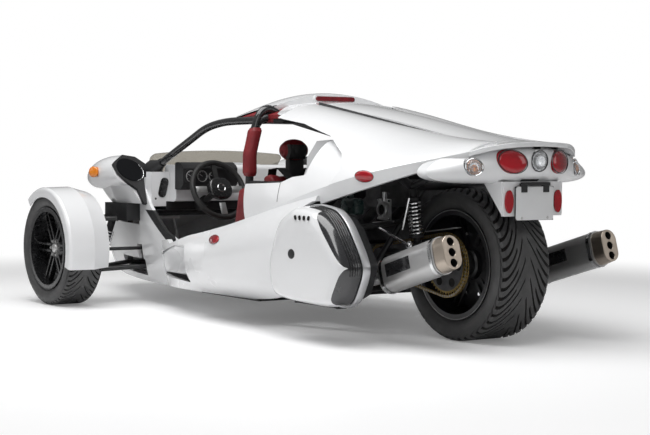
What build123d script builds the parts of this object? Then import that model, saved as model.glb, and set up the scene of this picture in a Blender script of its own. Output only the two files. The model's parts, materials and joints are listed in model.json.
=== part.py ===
from build123d import *
import math
import os

# Driving dimensions in millimetres: X forward, Y left, Z up, ground at zero
LENGTH = 3480.0
WIDTH = 1980.0
WHEELBASE = 2286.0
REAR_OVERHANG = 400.0
FRONT_TYRE_R = 295.5
FRONT_TYRE_W = 205.0
FRONT_BEAD_R = 205.0
REAR_TYRE_R = 332.0
REAR_TYRE_W = 300.0
REAR_BEAD_R = 230.0
FENDER_WALL = 5.0
FENDER_GAP = 6.5
KINGPIN_INSET = 88.0
SPINDLE_R = 20.0
RUNNING_GAP = 0.05
SPOKE_W = 11.0
SPOKE_PITCH = 34.0
MIRROR_LEAN = 28.0
MIRROR_DEEP = 20.0
AMBER_R = 26.0
TUBE_R = 19.0
BELLY_Z = 118.0
SKIN = 18.0
ROOF_Z = 1100.0
SEAT_Y = 262.0
CASE_SEAM_Y = 632.0
CASE_WALL = 6.0
BASE_DEEP = 112.0
LID_DEEP = 118.0
TIP_HOLE_R = 17.0
PLATE_HOLE_R = 3.5
PLATE_HOLE_SPAN = 146.0
MARKER_LONG = 84.0
MARKER_TALL = 46.0
LAMP_STEP = 1072.0
LIP = 20.0

X_NOSE = LENGTH / 2
X_TAIL = -LENGTH / 2
X_REAR = X_TAIL + REAR_OVERHANG
X_FRONT = X_REAR + WHEELBASE
Y_WHEEL = WIDTH / 2 - FENDER_WALL - FENDER_GAP - FRONT_TYRE_W / 2
Z_FRONT = FRONT_TYRE_R
Z_REAR = REAR_TYRE_R
Y_PIN = Y_WHEEL - KINGPIN_INSET


def f(dx):
    return X_FRONT + dx


def r(dx):
    return X_REAR + dx


def flip(part):
    return mirror(part, about=Plane.XZ)


def pair(part):
    return Compound(children=[*part.solids(), *flip(part).solids()])


def block(x0, x1, y0, y1, z0, z1):
    return Pos((x0 + x1) / 2, (y0 + y1) / 2, (z0 + z1) / 2) * Box(abs(x1 - x0), abs(y1 - y0), abs(z1 - z0))


def rod(a, b, radius):
    a, b = Vector(a), Vector(b)
    return Plane(origin=(a + b) / 2, z_dir=(b - a)) * Cylinder(radius, (b - a).length)


def tube(points, radius, bend):
    path = FilletPolyline(*points, radius=bend) if len(points) > 2 else Line(*points)
    return sweep(Plane(origin=path @ 0, z_dir=path % 0) * Circle(radius), path=path)


def wire(*edges):
    return Wire(list(edges))


def lofted(wires, ruled=False):
    return Part() + Solid.make_loft(wires, ruled)


def fuse(items):
    whole = items[0]
    for item in items[1:]:
        whole = whole + item
    return whole


def side_face(points, y, radius=0.0):
    sketch = make_face(Polyline(*[(x, z) for x, z in points], close=True))
    if radius > 0:
        sketch = fillet(sketch.vertices(), radius)
    return Plane(origin=(0, y, 0), x_dir=(1, 0, 0), z_dir=(0, -1, 0)) * sketch


def side_cut(points, y0, y1, radius=0.0):
    return extrude(side_face(points, y1, radius), amount=y1 - y0)


def plan_cut(points, z0, z1, radius=0.0):
    sketch = make_face(Polyline(*points, close=True))
    if radius > 0:
        sketch = fillet(sketch.vertices(), radius)
    return extrude(Pos(0, 0, z0) * sketch, amount=z1 - z0)


def ring(profile):
    face = make_face(profile)
    return revolve(Plane.YZ * face, axis=Axis.Y, revolution_arc=360)


def tyre(radius, width, bead):
    h = width / 2
    wall = radius - bead
    shoulder, crown = 0.88 * h, 0.72 * h
    prof = [
        Line((-0.82 * h, bead), (0.82 * h, bead)),
        Line((0.82 * h, bead), (0.82 * h, bead + 12)),
        ThreePointArc((0.82 * h, bead + 12), (h, bead + 0.5 * wall), (shoulder, radius - 0.13 * wall)),
        ThreePointArc((shoulder, radius - 0.13 * wall), (0.82 * h, radius - 0.035 * wall), (crown, radius)),
        Line((crown, radius), (-crown, radius)),
        ThreePointArc((-crown, radius), (-0.82 * h, radius - 0.035 * wall), (-shoulder, radius - 0.13 * wall)),
        ThreePointArc((-shoulder, radius - 0.13 * wall), (-h, bead + 0.5 * wall), (-0.82 * h, bead + 12)),
        Line((-0.82 * h, bead + 12), (-0.82 * h, bead)),
    ]
    return ring(prof)


def rim(bead, width, hub_r, hub0, hub1, bore_r, spoke_y0, spoke_y1):
    h = 0.82 * width / 2
    flange = bead + 11
    barrel = ring(Polyline((-h - 9, bead - 14), (h + 9, bead - 14), (h + 9, flange), (h + 0.4, flange),
                           (h + 0.4, bead - 0.3), (-h - 0.4, bead - 0.3), (-h - 0.4, flange), (-h - 9, flange),
                           close=True))
    hub = ring(Polyline((hub0, bore_r), (hub1, bore_r), (hub1, hub_r - 8), (hub1 - 8, hub_r), (hub0, hub_r), close=True))
    bars = []
    for k in range(6):
        for off in (-SPOKE_PITCH / 2, SPOKE_PITCH / 2):
            bar = block(off - SPOKE_W / 2, off + SPOKE_W / 2, spoke_y0, spoke_y1, hub_r - 14, bead - 8)
            bars.append(Rot(0, 60 * k + 30, 0) * bar)
    return fuse([barrel, hub] + bars)


# Front wheel pieces about their own centre, outboard along Y
def front_tyre():
    return tyre(FRONT_TYRE_R, FRONT_TYRE_W, FRONT_BEAD_R)


def front_rim():
    return rim(FRONT_BEAD_R, FRONT_TYRE_W, 62, -15, 42, SPINDLE_R + RUNNING_GAP, 18, 46)


def front_disc():
    prof = Polyline((-15, 30), (-15, 58), (-30, 62), (-30, 142), (-40, 142), (-40, 50), (-24, 46), (-24, 30), close=True)
    return ring(prof)


def knuckle():
    spindle = rod((0, -74, 0), (0, 34, 0), SPINDLE_R)
    upright = block(-34, 34, -110, -64, -104, 124)
    pins = rod((0, -KINGPIN_INSET, -132), (0, -KINGPIN_INSET, 152), 9)
    arm = tube([(-20, -92, -30), (-60, -100, -30), (-150, -175, -30)], 11, 20)
    eye = Pos(-150, -175, -30) * Cylinder(18, 22)
    caliper = Rot(0, -38, 0) * (block(-168, -96, -62, -10, -48, 48) - block(-151, -90, -46, -24, -60, 60))
    stay = fuse([Rot(0, a, 0) * block(-14, 14, -118, -109, 20, 291.0) for a in (-42, -80)])
    bracket = Rot(0, -38, 0) * block(-130, -20, -76, -52, -26, 26)
    return fuse([upright, spindle, pins, arm, eye, caliper, bracket, stay])


def fender():
    o = FRONT_TYRE_W / 2 + FENDER_GAP
    w = FENDER_WALL
    R = FRONT_TYRE_R
    prof = [
        Line((o + w, R - 28), (o + w, R + 6)),
        ThreePointArc((o + w, R + 6), (o, R + 19), (o - 16, R + 23.5)),
        Line((o - 16, R + 23.5), (-26, R + 26.5)),
        Line((-26, R + 26.5), (-120, R + 0.5)),
        Line((-120, R + 0.5), (-120, R - w + 0.5)),
        Line((-120, R - w + 0.5), (-26, R + 26.5 - w)),
        Line((-26, R + 26.5 - w), (o - 17, R + 23.5 - w)),
        ThreePointArc((o - 17, R + 23.5 - w), (o - 5, R + 15), (o, R + 5)),
        Line((o, R + 5), (o, R - 28)),
        Line((o, R - 28), (o + w, R - 28)),
    ]
    face = Plane.YZ * make_face(prof)
    swept = revolve(face, axis=Axis.Y, revolution_arc=143)
    return Rot(0, 36 - 143, 0) * swept


# Rear wheel pieces about their own centre
def rear_rim():
    return rim(REAR_BEAD_R, REAR_TYRE_W, 70, -60, 60, SPINDLE_R + RUNNING_GAP, -14, 22)


def rear_disc():
    disc = ring(Polyline((-60, 30), (-60, 58), (-78, 62), (-166, 62), (-166, 128), (-174, 128), (-174, 40),
                         (-74, 40), (-74, 30), close=True))
    wheel = ring(Polyline((60, 30), (60, 58), (78, 62), (166, 62), (166, 112), (174, 112), (174, 40),
                          (74, 40), (74, 30), close=True))
    return Compound(children=[*disc.solids(), *wheel.solids()])


def drive_chain():
    x1, r1, r2, t = 470.0, 135.0, 58.0, 10.0
    outer = make_hull([*Circle(r1 + t).edges(), *(Pos(x1, 0) * Circle(r2 + t)).edges()])
    inner = make_hull([*Circle(r1 - t).edges(), *(Pos(x1, 0) * Circle(r2 - t)).edges()])
    band = extrude(outer - inner, amount=16)
    return Pos(X_REAR, 178, Z_REAR) * (Rot(90, 0, 0) * band)


# Body
def hull_section(x, yb, zb, ys, zs, ym, crown, inset=0.0):
    yb, ys, ym = yb - inset, ys - inset, ym - inset
    zb, zs, crown = zb + inset, zs - inset, crown - inset
    zm = (zb + zs) / 2
    return wire(
        Line((x, -yb, zb), (x, yb, zb)),
        ThreePointArc((x, yb, zb), (x, ym, zm), (x, ys, zs)),
        ThreePointArc((x, ys, zs), (x, 0, crown), (x, -ys, zs)),
        ThreePointArc((x, -ys, zs), (x, -ym, zm), (x, -yb, zb)),
    )


# columns: x, half width at belly, belly z, half width at shoulder, shoulder z, widest half width, crown z
NOSE_ROWS = [
    (X_NOSE, 130, 215, 165, 300, 156, 330),
    (f(620), 235, 150, 285, 395, 275, 440),
    (f(330), 330, BELLY_Z, 395, 510, 385, 575),
    (f(30), 420, BELLY_Z, 470, 610, 470, 690),
    (f(-240), 480, BELLY_Z, 520, 670, 525, 748),
    (f(-560), 505, BELLY_Z, 545, 690, 552, 752),
    (f(-890), 510, BELLY_Z, 550, 690, 560, 752),
]


# cockpit edge seen from the side: x, z
DOOR_LINE = [(f(-265), 900), (f(-262), 610), (f(-330), 530), (f(-520), 400), (f(-660), 346), (f(-900), 405), (f(-900), 900)]


def nose_solid(inset):
    rows = [list(row) for row in NOSE_ROWS]
    if inset > 0:
        rows[0][0] -= inset
        rows[-1][0] -= 5
    return lofted([hull_section(*row, inset=inset) for row in rows])


def nose_body():
    shell = nose_solid(0) - nose_solid(SKIN)
    door = side_cut(DOOR_LINE, -800, 800)
    cowl = block(f(-1000), f(-250), -440, 440, 560, 900)
    lower = block(f(-215), f(215), 370, 700, 150, 235)
    upper = block(f(-175), f(175), 370, 700, 420, 484)
    tie = block(f(-190), f(-110), 370, 700, 234, 314)
    slots = pair(fuse([lower, upper, tie]))
    return cut(shell - door - cowl, slots)


def belly_zone():
    return block(f(-900), f(560), -600, 600, 100, BELLY_Z + SKIN + 4)


def lean_plane(out=0.0):
    a = math.radians(MIRROR_LEAN)
    normal = Vector(-math.cos(a), 0, math.sin(a))
    return Plane(origin=Vector(f(-192), 566, 694) + normal * out, x_dir=(0, -1, 0), z_dir=normal)


def pod_nacelle():
    # columns: x, centre y, centre z, half width, half height
    rows = [(f(215), 566, 664, 58, 54), (f(120), 578, 676, 84, 74), (f(-20), 586, 694, 98, 84),
            (f(-130), 582, 702, 100, 82), (f(-260), 576, 704, 98, 78)]
    wires = []
    for x, y, z, a, b in rows:
        plane = Plane(origin=(x, y, z), x_dir=(0, 1, 0), z_dir=(1, 0, 0))
        wires.append((plane * Ellipse(a, b)).wire())
    return lofted(wires)


def pod_pylon():
    # columns: z, outer y at the rear, at the middle and at the front, front x
    rows = [(533, 552, 588, 574, f(30)), (605, 580, 622, 602, f(92)), (690, 604, 650, 626, f(124))]
    wires = []
    for z, yr, ym, yf, xf in rows:
        sketch = make_face(Polyline((f(-300), 470), (f(-300), yr), (f(-60), ym), (xf, yf), (xf, 470), close=True))
        wires.append((Pos(0, 0, z) * fillet(sketch.vertices(), 22)).wire())
    return lofted(wires)


def headlamp_pods():
    behind = extrude(lean_plane() * Rectangle(900, 900), amount=400)
    body = keep_big(fuse([pod_nacelle(), pod_pylon()]) - behind - nose_solid(0))
    eye = block(f(180), f(260), 400, 700, 500, 800)
    lamp_pocket = Pos(f(10), 700, 695) * Rot(90, 0, 0) * Cylinder(AMBER_R + 0.5, 60)
    return body - eye - lamp_pocket


def keep_big(part):
    return Part() + max(part.solids(), key=lambda s: s.volume)


def headlamps():
    nac = pod_nacelle() & block(f(180.2), f(215), 300, 800, 500, 800)
    return keep_big(nac)


def mirror_housing():
    # teardrop on the leaning plane: across and up
    pts = [(-50, 96), (25, 84), (87, 34), (79, -11), (39, -190), (10, -190), (-5, -105), (-50, -69), (-98, -10), (-114, 48)]
    outer = fillet(make_face(Polyline(*pts, close=True)).vertices(), 13)
    return extrude(lean_plane() * outer, amount=MIRROR_DEEP)


def mirror_glass():
    return extrude(lean_plane(MIRROR_DEEP) * (Pos(-24, 6) * Rot(0, 0, -30) * Ellipse(80, 60)), amount=4)


def windscreen():
    # columns: z, x at the middle, x at the sides, half width
    rows = [(640.0, f(15), f(-25), 404.0), (840.0, f(-110), f(-165), 430.0)]
    wires = []
    for z, xm, xs, h in rows:
        wires.append(wire(ThreePointArc((xs, -h, z), (xm, 0, z), (xs, h, z)),
                          Line((xs, h, z), (xs - 6, h, z)),
                          ThreePointArc((xs - 6, h, z), (xm - 6, 0, z), (xs - 6, -h, z)),
                          Line((xs - 6, -h, z), (xs, -h, z))))
    sheet = lofted(wires, True)
    outline = make_face([ThreePointArc((-424, 792), (0, 812), (424, 792)), Line((424, 792), (424, 600)),
                         Line((424, 600), (-424, 600)), Line((-424, 600), (-424, 792))])
    shape = Plane(origin=(f(100), 0, 0), x_dir=(0, 1, 0), z_dir=(1, 0, 0)) * fillet(outline.vertices().group_by(Axis.Y)[-1], 40)
    return sheet & extrude(shape, amount=-500)


def arm_cover(arms):
    box = block(f(-190), f(55), 480, 600, 440, 531)
    return keep_big(cut(box - nose_solid(0), *arms))


def strip_section(x, top, mid, low, t):
    (yt, zt), (ym, zm), (yl, zl) = top, mid, low
    return wire(
        ThreePointArc((x, yt, zt), (x, ym, zm), (x, yl, zl)),
        Line((x, yl, zl), (x, yl - t, zl)),
        ThreePointArc((x, yl - t, zl), (x, ym - t, zm), (x, yt - t, zt)),
        Line((x, yt - t, zt), (x, yt, zt)),
    )


def pod():
    # columns: x, top y, top z, widest y, mid z, low y, low z
    rows = [
        (f(-480), 553, 352, 545, 250, 512, 130),
        (f(-880), 630, 400, 664, 290, 586, 126),
        (f(-1250), 640, 468, 700, 320, 560, 124),
        (r(700), 640, 545, 700, 360, 590, 150),
        (r(356), 604, 625, 640, 430, 560, 260),
    ]
    t = 26.0
    skin = lofted([strip_section(x, (yt, zt), (ym, zm), (yl, zl), t) for x, yt, zt, ym, zm, yl, zl in rows])
    tail = side_cut([(r(576), 80), (r(576), 330), (r(500), 536), (r(370), 602), (r(300), 602), (r(300), 80)], 400, 900)
    door = side_cut(DOOR_LINE, 400, 900)
    mouth = side_cut([(f(-484), 292), (f(-728), 342), (f(-880), 352), (f(-907), 295), (f(-905), 172), (f(-493), 186)], 400, 900, 6)
    return keep_big(skin - nose_solid(0) - tail - door - mouth)


# columns: x, ridge y, ridge z, via y, via z, shoulder y, shoulder z
QUARTER_ROWS = [
    (r(905), 232, 1040, 500, 930, 640, 520),
    (r(560), 186, 978, 500, 862, 628, 596),
    (r(240), 168, 924, 450, 830, 575, 690),
    (r(-60), 158, 884, 360, 836, 466, 764),
    (r(-290), 150, 866, 236, 852, 302, 822),
]


def quarter_loft(t, top, via, low):
    wires = []
    for x, yr, zr, yv, zv, ys, zs in QUARTER_ROWS:
        drop = 66 - 48 * min(1, max(0, (r(100) - x) / 390))
        zr, yv, zv, ys = zr - top, yv - via, zv - via, ys - low
        wires.append(wire(
            ThreePointArc((x, yr, zr), (x, yv, zv), (x, ys, zs)),
            Line((x, ys, zs), (x, ys - 14, zs - drop)),
            Line((x, ys - 14, zs - drop), (x, ys - 14 - t, zs - drop)),
            Line((x, ys - 14 - t, zs - drop), (x, ys - t, zs - 4)),
            ThreePointArc((x, ys - t, zs - 4), (x, yv - 0.7 * t, zv - 0.8 * t), (x, yr, zr - t)),
            Line((x, yr, zr - t), (x, yr, zr)),
        ))
    return lofted(wires)


def quarter():
    skin = quarter_loft(SKIN, 0, 0, 0)
    window = side_cut([(r(1000), 985), (r(700), 943), (r(480), 886), (r(330), 812), (r(262), 742), (r(300), 665),
                       (r(356), 625), (r(356), 300), (r(1000), 300)], 100, 900, 14)
    return skin - window


def crowned_strip(rows, t):
    wires = []
    for x, h, ze, zc in rows:
        wires.append(wire(
            ThreePointArc((x, -h, ze), (x, 0, zc), (x, h, ze)),
            Line((x, h, ze), (x, h, ze - t)),
            ThreePointArc((x, h, ze - t), (x, 0, zc - t), (x, -h, ze - t)),
            Line((x, -h, ze - t), (x, -h, ze)),
        ))
    return lofted(wires)


def roof_panel():
    # columns: x, half width, edge z, crown z
    brow = [(r(1290), 448, 974, 1066), (r(1180), 444, 986, ROOF_Z), (r(LAMP_STEP), 438, 994, 1096)]
    rear = [(r(LAMP_STEP + 20), 439, 992, 1062), (r(905.5), 432, 990, 1052)]
    return fuse([crowned_strip(brow, SKIN), crowned_strip(rear, SKIN)])


def engine_cover():
    return crowned_strip([(r(904), 196, 1034, 1050), (r(560), 150, 984, 1002), (r(240), 142, 930, 946), (r(-60), 150, 880, 896),
                          (r(-290), 146, 862, 872)], SKIN)


def spoiler():
    return crowned_strip([(r(-290.4), 302, 822, 872), (r(-350), 236, 846, 869), (X_TAIL, 148, 861, 866)], LIP)


def tail_loft(inset):
    # columns: z, half width, tip x from the tail, rear x from the tail
    rows = [(836, 262, 160, 34), (796, 372, 196, 8), (757, 440, 200, 12), (690, 270, 176, 84)]
    wires = []
    for z, h, tip, back in rows:
        if inset > 0:
            z = z - inset if z > 800 else z
        xt, xb = X_TAIL + tip, X_TAIL + back + inset
        h = h - 1.6 * inset
        lead = 0 if inset == 0 else 30
        wires.append(wire(ThreePointArc((xt, -h, z), (xb, 0, z), (xt, h, z)),
                          Line((xt, h, z), (xt + 60 + lead, h, z)),
                          Line((xt + 60 + lead, h, z), (xt + 60 + lead, -h, z)),
                          Line((xt + 60 + lead, -h, z), (xt, -h, z))))
    return lofted(wires)


# columns: y, z, half height, half width, how far ahead of the tail the lens face stands
TAIL_LAMPS = [(134, 783, 50, 68, 8), (291, 760, 37, 37, 70)]


def lamp_plug(y, z, hh, hw, deep, grow=0.0, slant=0.0):
    plane = Plane(origin=(X_TAIL + deep + 60, y, z), x_dir=(0, -1, 0), z_dir=(-1, 0, 0))
    return extrude(plane * (Rot(0, 0, slant) * Ellipse(hw + grow, hh + grow)), amount=120)


def tail_panel():
    body = tail_loft(0) - tail_loft(14)
    cuts = []
    for (y, z, hh, hw, deep), slant in zip(TAIL_LAMPS, (-10, 0)):
        cuts += [lamp_plug(y, z, hh, hw, deep, 0, slant), lamp_plug(-y, z, hh, hw, deep, 0, -slant)]
    cuts.append(lamp_plug(0, 786, 45, 47, 0))
    for cut in cuts:
        body = body - cut
    return body


def tail_lens(y, z, hh, hw, deep, slant):
    plug = lamp_plug(y, z, hh, hw, deep, -0.3, slant)
    return plug & (tail_loft(0) - tail_loft(22))


def red_lamps(roof, pods, quarters):
    y, z, hh, hw, deep = TAIL_LAMPS[0]
    lens = tail_lens(y, z, hh, hw, deep, -10)
    items = [*lens.solids(), *flip(lens).solids()]
    stop = block(r(LAMP_STEP - 13), r(LAMP_STEP), -120, 120, 1050, 1087) - roof
    items.append(max(stop.solids(), key=lambda s: s.center().Z))
    reflector = Plane(origin=(X_TAIL + 46, 138, 617), x_dir=(0, 1, 0), z_dir=(-1, 0, 0)) * Ellipse(22, 48)
    plug = extrude(reflector, amount=8)
    marks = [plug]
    for x, z, y0, y1, host in ((r(1087), 399, 620, 688, pods), (r(78), 714, 440, 548, quarters)):
        mark = Plane(origin=(x, y0, z), x_dir=(1, 0, 0), z_dir=(0, 1, 0)) * Ellipse(MARKER_LONG / 2, MARKER_TALL / 2)
        solid = cut(extrude(mark, amount=y1 - y0), host)
        marks.append(Part() + max(solid.solids(), key=lambda s: s.center().Y))
    for mark in marks:
        items += [*mark.solids(), *flip(mark).solids()]
    return Compound(children=items)


def clear_lamps(heads):
    items = [*heads.solids(), *flip(heads).solids()]
    back = tail_lens(0, 786, 45, 47, 0, 0)
    y, z, hh, hw, deep = TAIL_LAMPS[1]
    turn = tail_lens(y, z, hh, hw, deep, 0)
    return Compound(children=items + [*back.solids(), *turn.solids(), *flip(turn).solids()])


def plate_panel():
    face = block(X_TAIL + 46, X_TAIL + 60, -165, 165, 556, 700)
    wings = [side_cut([(X_TAIL + 50, 560), (X_TAIL + 50, 700), (X_TAIL + 170, 700)], s * 165 - 6, s * 165 + 6) for s in (-1, 1)]
    return fuse([face] + wings)


def plate_holder():
    plate = block(X_TAIL + 36, X_TAIL + 41, -108, 108, 538, 680)
    hinges = [block(X_TAIL + 30, X_TAIL + 45.8, s * 62 - 16, s * 62 + 16, 655, 692) for s in (-1, 1)]
    body = fuse([plate] + hinges)
    for s in (-1, 1):
        y = s * PLATE_HOLE_SPAN / 2
        body = body - rod((X_TAIL + 20, y, 548), (X_TAIL + 80, y, 548), PLATE_HOLE_R)
    return body


# Side cases in plan: seam outline and outer outline share the same corners
CASE_OUT = [(520, 172), (556, 330), (480, 520), (352, 586), (178, 564), (104, 510), (-4, 335), (48, 200), (112, 166)]


def case_loft(rows, radius=36.0):
    # rows: y and how far the outline is drawn in there
    cx = sum(p[0] for p in CASE_OUT) / len(CASE_OUT)
    cz = sum(p[1] for p in CASE_OUT) / len(CASE_OUT)
    wires = []
    for y, s in rows:
        pts = []
        for x, z in CASE_OUT:
            dx, dz = x - cx, z - cz
            k = 1 - s / math.hypot(dx, dz)
            pts.append((r(cx + dx * k), cz + dz * k))
        wires.append(side_face(pts, y, radius).wire())
    return lofted(wires, len(rows) == 2)


# lid section: depth from the seam and how far the outline is drawn in
LID_ROWS = [(0, 0), (66, 3), (102, 17), (LID_DEEP, 50)]


def hinge_y():
    return CASE_SEAM_Y + 4.0


HINGE_Z = 158.0


def case_base():
    back = CASE_SEAM_Y - BASE_DEEP
    shell = case_loft([(back, 30), (CASE_SEAM_Y - 0.5, 0)]) - case_loft(
        [(back + CASE_WALL, 30 + CASE_WALL), (CASE_SEAM_Y + 1, CASE_WALL)])
    pin = rod((r(150), hinge_y(), HINGE_Z), (r(470), hinge_y(), HINGE_Z), 4)
    lugs = [block(r(x - 6), r(x + 6), CASE_SEAM_Y - 40, hinge_y() + 5, HINGE_Z - 5, 180) for x in (156, 464)]
    lugs = [lug - case_loft([(back, 2), (CASE_SEAM_Y + 60, 2)]) for lug in lugs]
    lugs = [lug - block(r(0), r(600), CASE_SEAM_Y - 0.5, CASE_SEAM_Y + 60, HINGE_Z + 6, 200) for lug in lugs]
    return keep_big(fuse([shell, pin] + lugs))


def case_lid():
    w = CASE_WALL
    shell = case_loft([(CASE_SEAM_Y + max(d, 0.5), s) for d, s in LID_ROWS])
    shell = shell - case_loft([(CASE_SEAM_Y + (d - w if d > 60 else -1), s + w) for d, s in LID_ROWS])
    y = hinge_y()
    eyes = []
    for x in (230, 390):
        eye = block(r(x - 14), r(x + 14), CASE_SEAM_Y + 1, y + 8, HINGE_Z - 7, 190) - rod(
            (r(x - 30), y, HINGE_Z), (r(x + 30), y, HINGE_Z), 4 + RUNNING_GAP)
        eyes.append(eye - case_loft([(CASE_SEAM_Y - 1, 2), (CASE_SEAM_Y + LID_DEEP - w, 46 + w)]))
    return keep_big(fuse([shell] + eyes))


def exhaust_plane(s):
    a, b = Vector(r(60), 440, 292), Vector(X_TAIL + 30, 449, 421)
    d = (b - a).normalized()
    return Plane(origin=a + d * s, x_dir=(0, 1, 0), z_dir=d)


EXHAUST_LEN = 446.0
TIP_LEN = 62.0


def exhaust():
    body = extrude(exhaust_plane(0) * SlotOverall(158, 104, rotation=90), amount=EXHAUST_LEN - TIP_LEN - 0.2)
    pipe = tube([(r(690), 200, 300), (r(520), 300, 250), (r(200), 425, 262), tuple(exhaust_plane(1).origin)], 26, 60)
    return fuse([body, pipe])


def exhaust_tip():
    tip = extrude(exhaust_plane(EXHAUST_LEN - TIP_LEN) * SlotOverall(150, 98, rotation=90), amount=TIP_LEN, taper=4)
    for off in (-44, 0, 44):
        bore = exhaust_plane(EXHAUST_LEN - 50) * (Pos(0, off, 0) * Circle(TIP_HOLE_R))
        tip = tip - extrude(bore, amount=80)
    return tip


def engine():
    low = block(r(545), r(880), -265, 265, 172, 390)
    bank = Plane(origin=(r(668), 0, 380), x_dir=(0, 1, 0), z_dir=(0.55, 0, 0.83)) * Pos(0, 0, 80) * Box(500, 190, 220)
    throats = [rod((r(690), y, 470), (r(470), y, 622), 27) for y in (-200, -120, -40, 40, 120, 200)]
    plenum = block(r(380), r(490), -240, 240, 570, 690)
    gear = block(r(440), r(560), 70, 156, 290, 374)
    shaft = rod((r(470), 100, Z_REAR), (r(470), 177, Z_REAR), 22)
    sprocket = rod((r(470), 163, Z_REAR), (r(470), 177, Z_REAR), 47.9)
    feet = [block(r(600), r(640), s * 250, s * 375, 178, 208) for s in (-1, 1)]
    return fuse([low, bank, gear, plenum, shaft, sprocket] + feet + throats)


def swingarm():
    arms = []
    for s in (-1, 1):
        arms.append(tube([(r(380), s * 215, 330), (r(120), s * 215, 345), (r(0), s * 205, Z_REAR)], 27, 60))
        arms.append(rod((r(0), s * 180, Z_REAR), (r(0), s * 236, Z_REAR), 44))
        arms.append(block(r(90), r(150), s * 190, s * 262, 345, 425))
    cross = rod((r(380), -240, 330), (r(380), 240, 330), 34)
    axle = rod((r(0), -250, Z_REAR), (r(0), 250, Z_REAR), SPINDLE_R)
    return fuse(arms + [cross, axle])


def rear_shock():
    a, b = Vector(r(118), 238, 426), Vector(r(146), 244, 656)
    d = (b - a).normalized()
    core = rod(a, b, 16)
    can = rod(a + d * 120, b - d * 22, 24)
    turns = [rod(a + d * (30 + 17 * k), a + d * (39 + 17 * k), 31) for k in range(9)]
    lower = rod(a + d * 18, a + d * 30, 34)
    return fuse([core, can, lower] + turns)


def roll_cage():
    hoop = tube([(r(1040), -520, 200), (r(1040), -512, 800), (r(1040), -470, 970), (r(1016), -330, 982),
                 (r(1016), 330, 982), (r(1040), 470, 970), (r(1040), 512, 800), (r(1040), 520, 200)], TUBE_R, 70)
    bars = []
    for s in (-1, 1):
        bars.append(tube([(r(1016), s * 330, 975), (r(600), s * 260, 880), (r(150), s * 244, 668)], TUBE_R, 80))
        bars.append(rod((r(150), s * 244, 668), (r(-250), s * 120, 842), 14))
    cross = rod((r(150), -244, 668), (r(150), 244, 668), TUBE_R)
    return fuse([hoop, cross] + bars)


def screen_bar(s):
    return tube([(f(-190), s * 440, 190), (f(-226), s * 462, 716), (f(-790), s * 452, 942), (r(1030), s * 436, 962)], TUBE_R, 110)


def frame_rail(s):
    return tube([(f(420), s * 230, 170), (f(-190), s * 440, 170), (r(1040), s * 520, 170), (r(800), s * 420, 170),
                 (r(440), s * 300, 200), (r(380), s * 250, 330)], TUBE_R, 60)


def chassis_frame():
    bars = []
    for s in (-1, 1):
        bars.append(tube([(f(150), s * 395, 198), (f(150), s * 395, 462), (f(-150), s * 395, 462), (f(-150), s * 395, 198)], 15, 30))
        bars.append(rod((f(-150), s * 395, 462), (f(-200), s * 440, 500), 12))
        bars.append(rod((r(380), s * 250, 330), (r(165), s * 175, 655), 15))
        for x, y in ((f(-950), 497), (r(1040), 520)):
            bars.append(rod((x, s * y, 170), (x, s * 656, 236), 12))
    bars.append(rod((r(380), 250, 330), (r(380), 523, 330), 12))
    bars.append(rod((r(260), 212, 510), (r(260), 523, 481), 12))
    for x, y, z in ((f(150), 395, 192), (f(-150), 420, 184), (r(1040), 520, 170), (r(440), 290, 200)):
        bars.append(rod((x, -y, z), (x, y, z), 15))
    bars.append(rod((f(150), -395, 462), (f(150), 395, 462), 15))
    bars.append(rod((f(-150), -395, 300), (f(-150), 395, 300), 15))
    return fuse(bars)


def front_arm():
    low, top = (X_FRONT, Y_PIN, Z_FRONT - 125), (X_FRONT, Y_PIN, Z_FRONT + 144)
    parts = []
    for (x, y, z), dx, zi in ((low, 150, 198), (top, 150, 462)):
        eye = Pos(x, y, z) * Cylinder(22, 20)
        legs = [rod((x, y - 4, z), (x + k * dx, 395, zi), 13) for k in (-1, 1)]
        parts.append(fuse([eye] + legs) - (Pos(x, y, z) * Cylinder(9 + RUNNING_GAP, 60)))
    seat = block(f(-50), f(50), 645, 695, Z_FRONT - 122, Z_FRONT - 96)
    parts[0] = parts[0] + seat
    tie = rod((f(-150), 380, Z_FRONT - 3), (f(-150), Y_PIN - 96, Z_FRONT - 3), 9)
    parts.append(tie)
    return parts


def front_shock():
    a, b = Vector(f(0), 668, Z_FRONT - 97), Vector(f(0), 566, 490)
    d = (b - a).normalized()
    core = rod(a, b, 13)
    can = rod(a + d * 130, b - d * 10, 22)
    turns = [rod(a + d * (40 + 17 * k), a + d * (49 + 17 * k), 30) for k in range(9)]
    lower = rod(a + d * 26, a + d * 40, 33)
    return fuse([core, can, lower] + turns)


def floor_tub():
    floor = plan_cut([(f(-891), 560), (f(-891), -560), (r(880), -560), (r(880), 560)], BELLY_Z, BELLY_Z + 20)
    wall = side_cut([(r(980), 138), (r(960), 138), (r(850), 640), (r(870), 640)], -490, 490)
    tunnel = block(f(-300), r(975), -46, 46, 137.5, 330)
    return fuse([floor, wall, tunnel])


def cabin_panel():
    pts = [(r(900), 490), (r(900), 664), (r(640), 676), (r(574), 702), (r(496), 712), (r(516), 862), (r(470), 880), (r(330), 808),
           (r(240), 738), (r(300), 630)]
    return keep_big(quarter_loft(12, 40, 22, 9) & side_cut(pts, 300, 800, 12))


def dashboard():
    body = block(f(-395), f(-275), -420, 420, 545, 738)
    body = fillet(body.edges().filter_by(Axis.Y), 26)
    shelf = block(f(-330), f(-205), -438, 438, 500, 545.5)
    cheeks = [block(f(-322), f(-262), s * 400, s * 524, 520, 700) for s in (-1, 1)]
    return fuse([body, shelf] + cheeks)


def gauge_cluster():
    hood = Pos(f(-420), SEAT_Y, 680) * Rot(90, 0, 0) * Cylinder(72, 330)
    hood = hood & block(f(-480), f(-395), 0, 600, 600, 800)
    return keep_big(hood)


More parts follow.
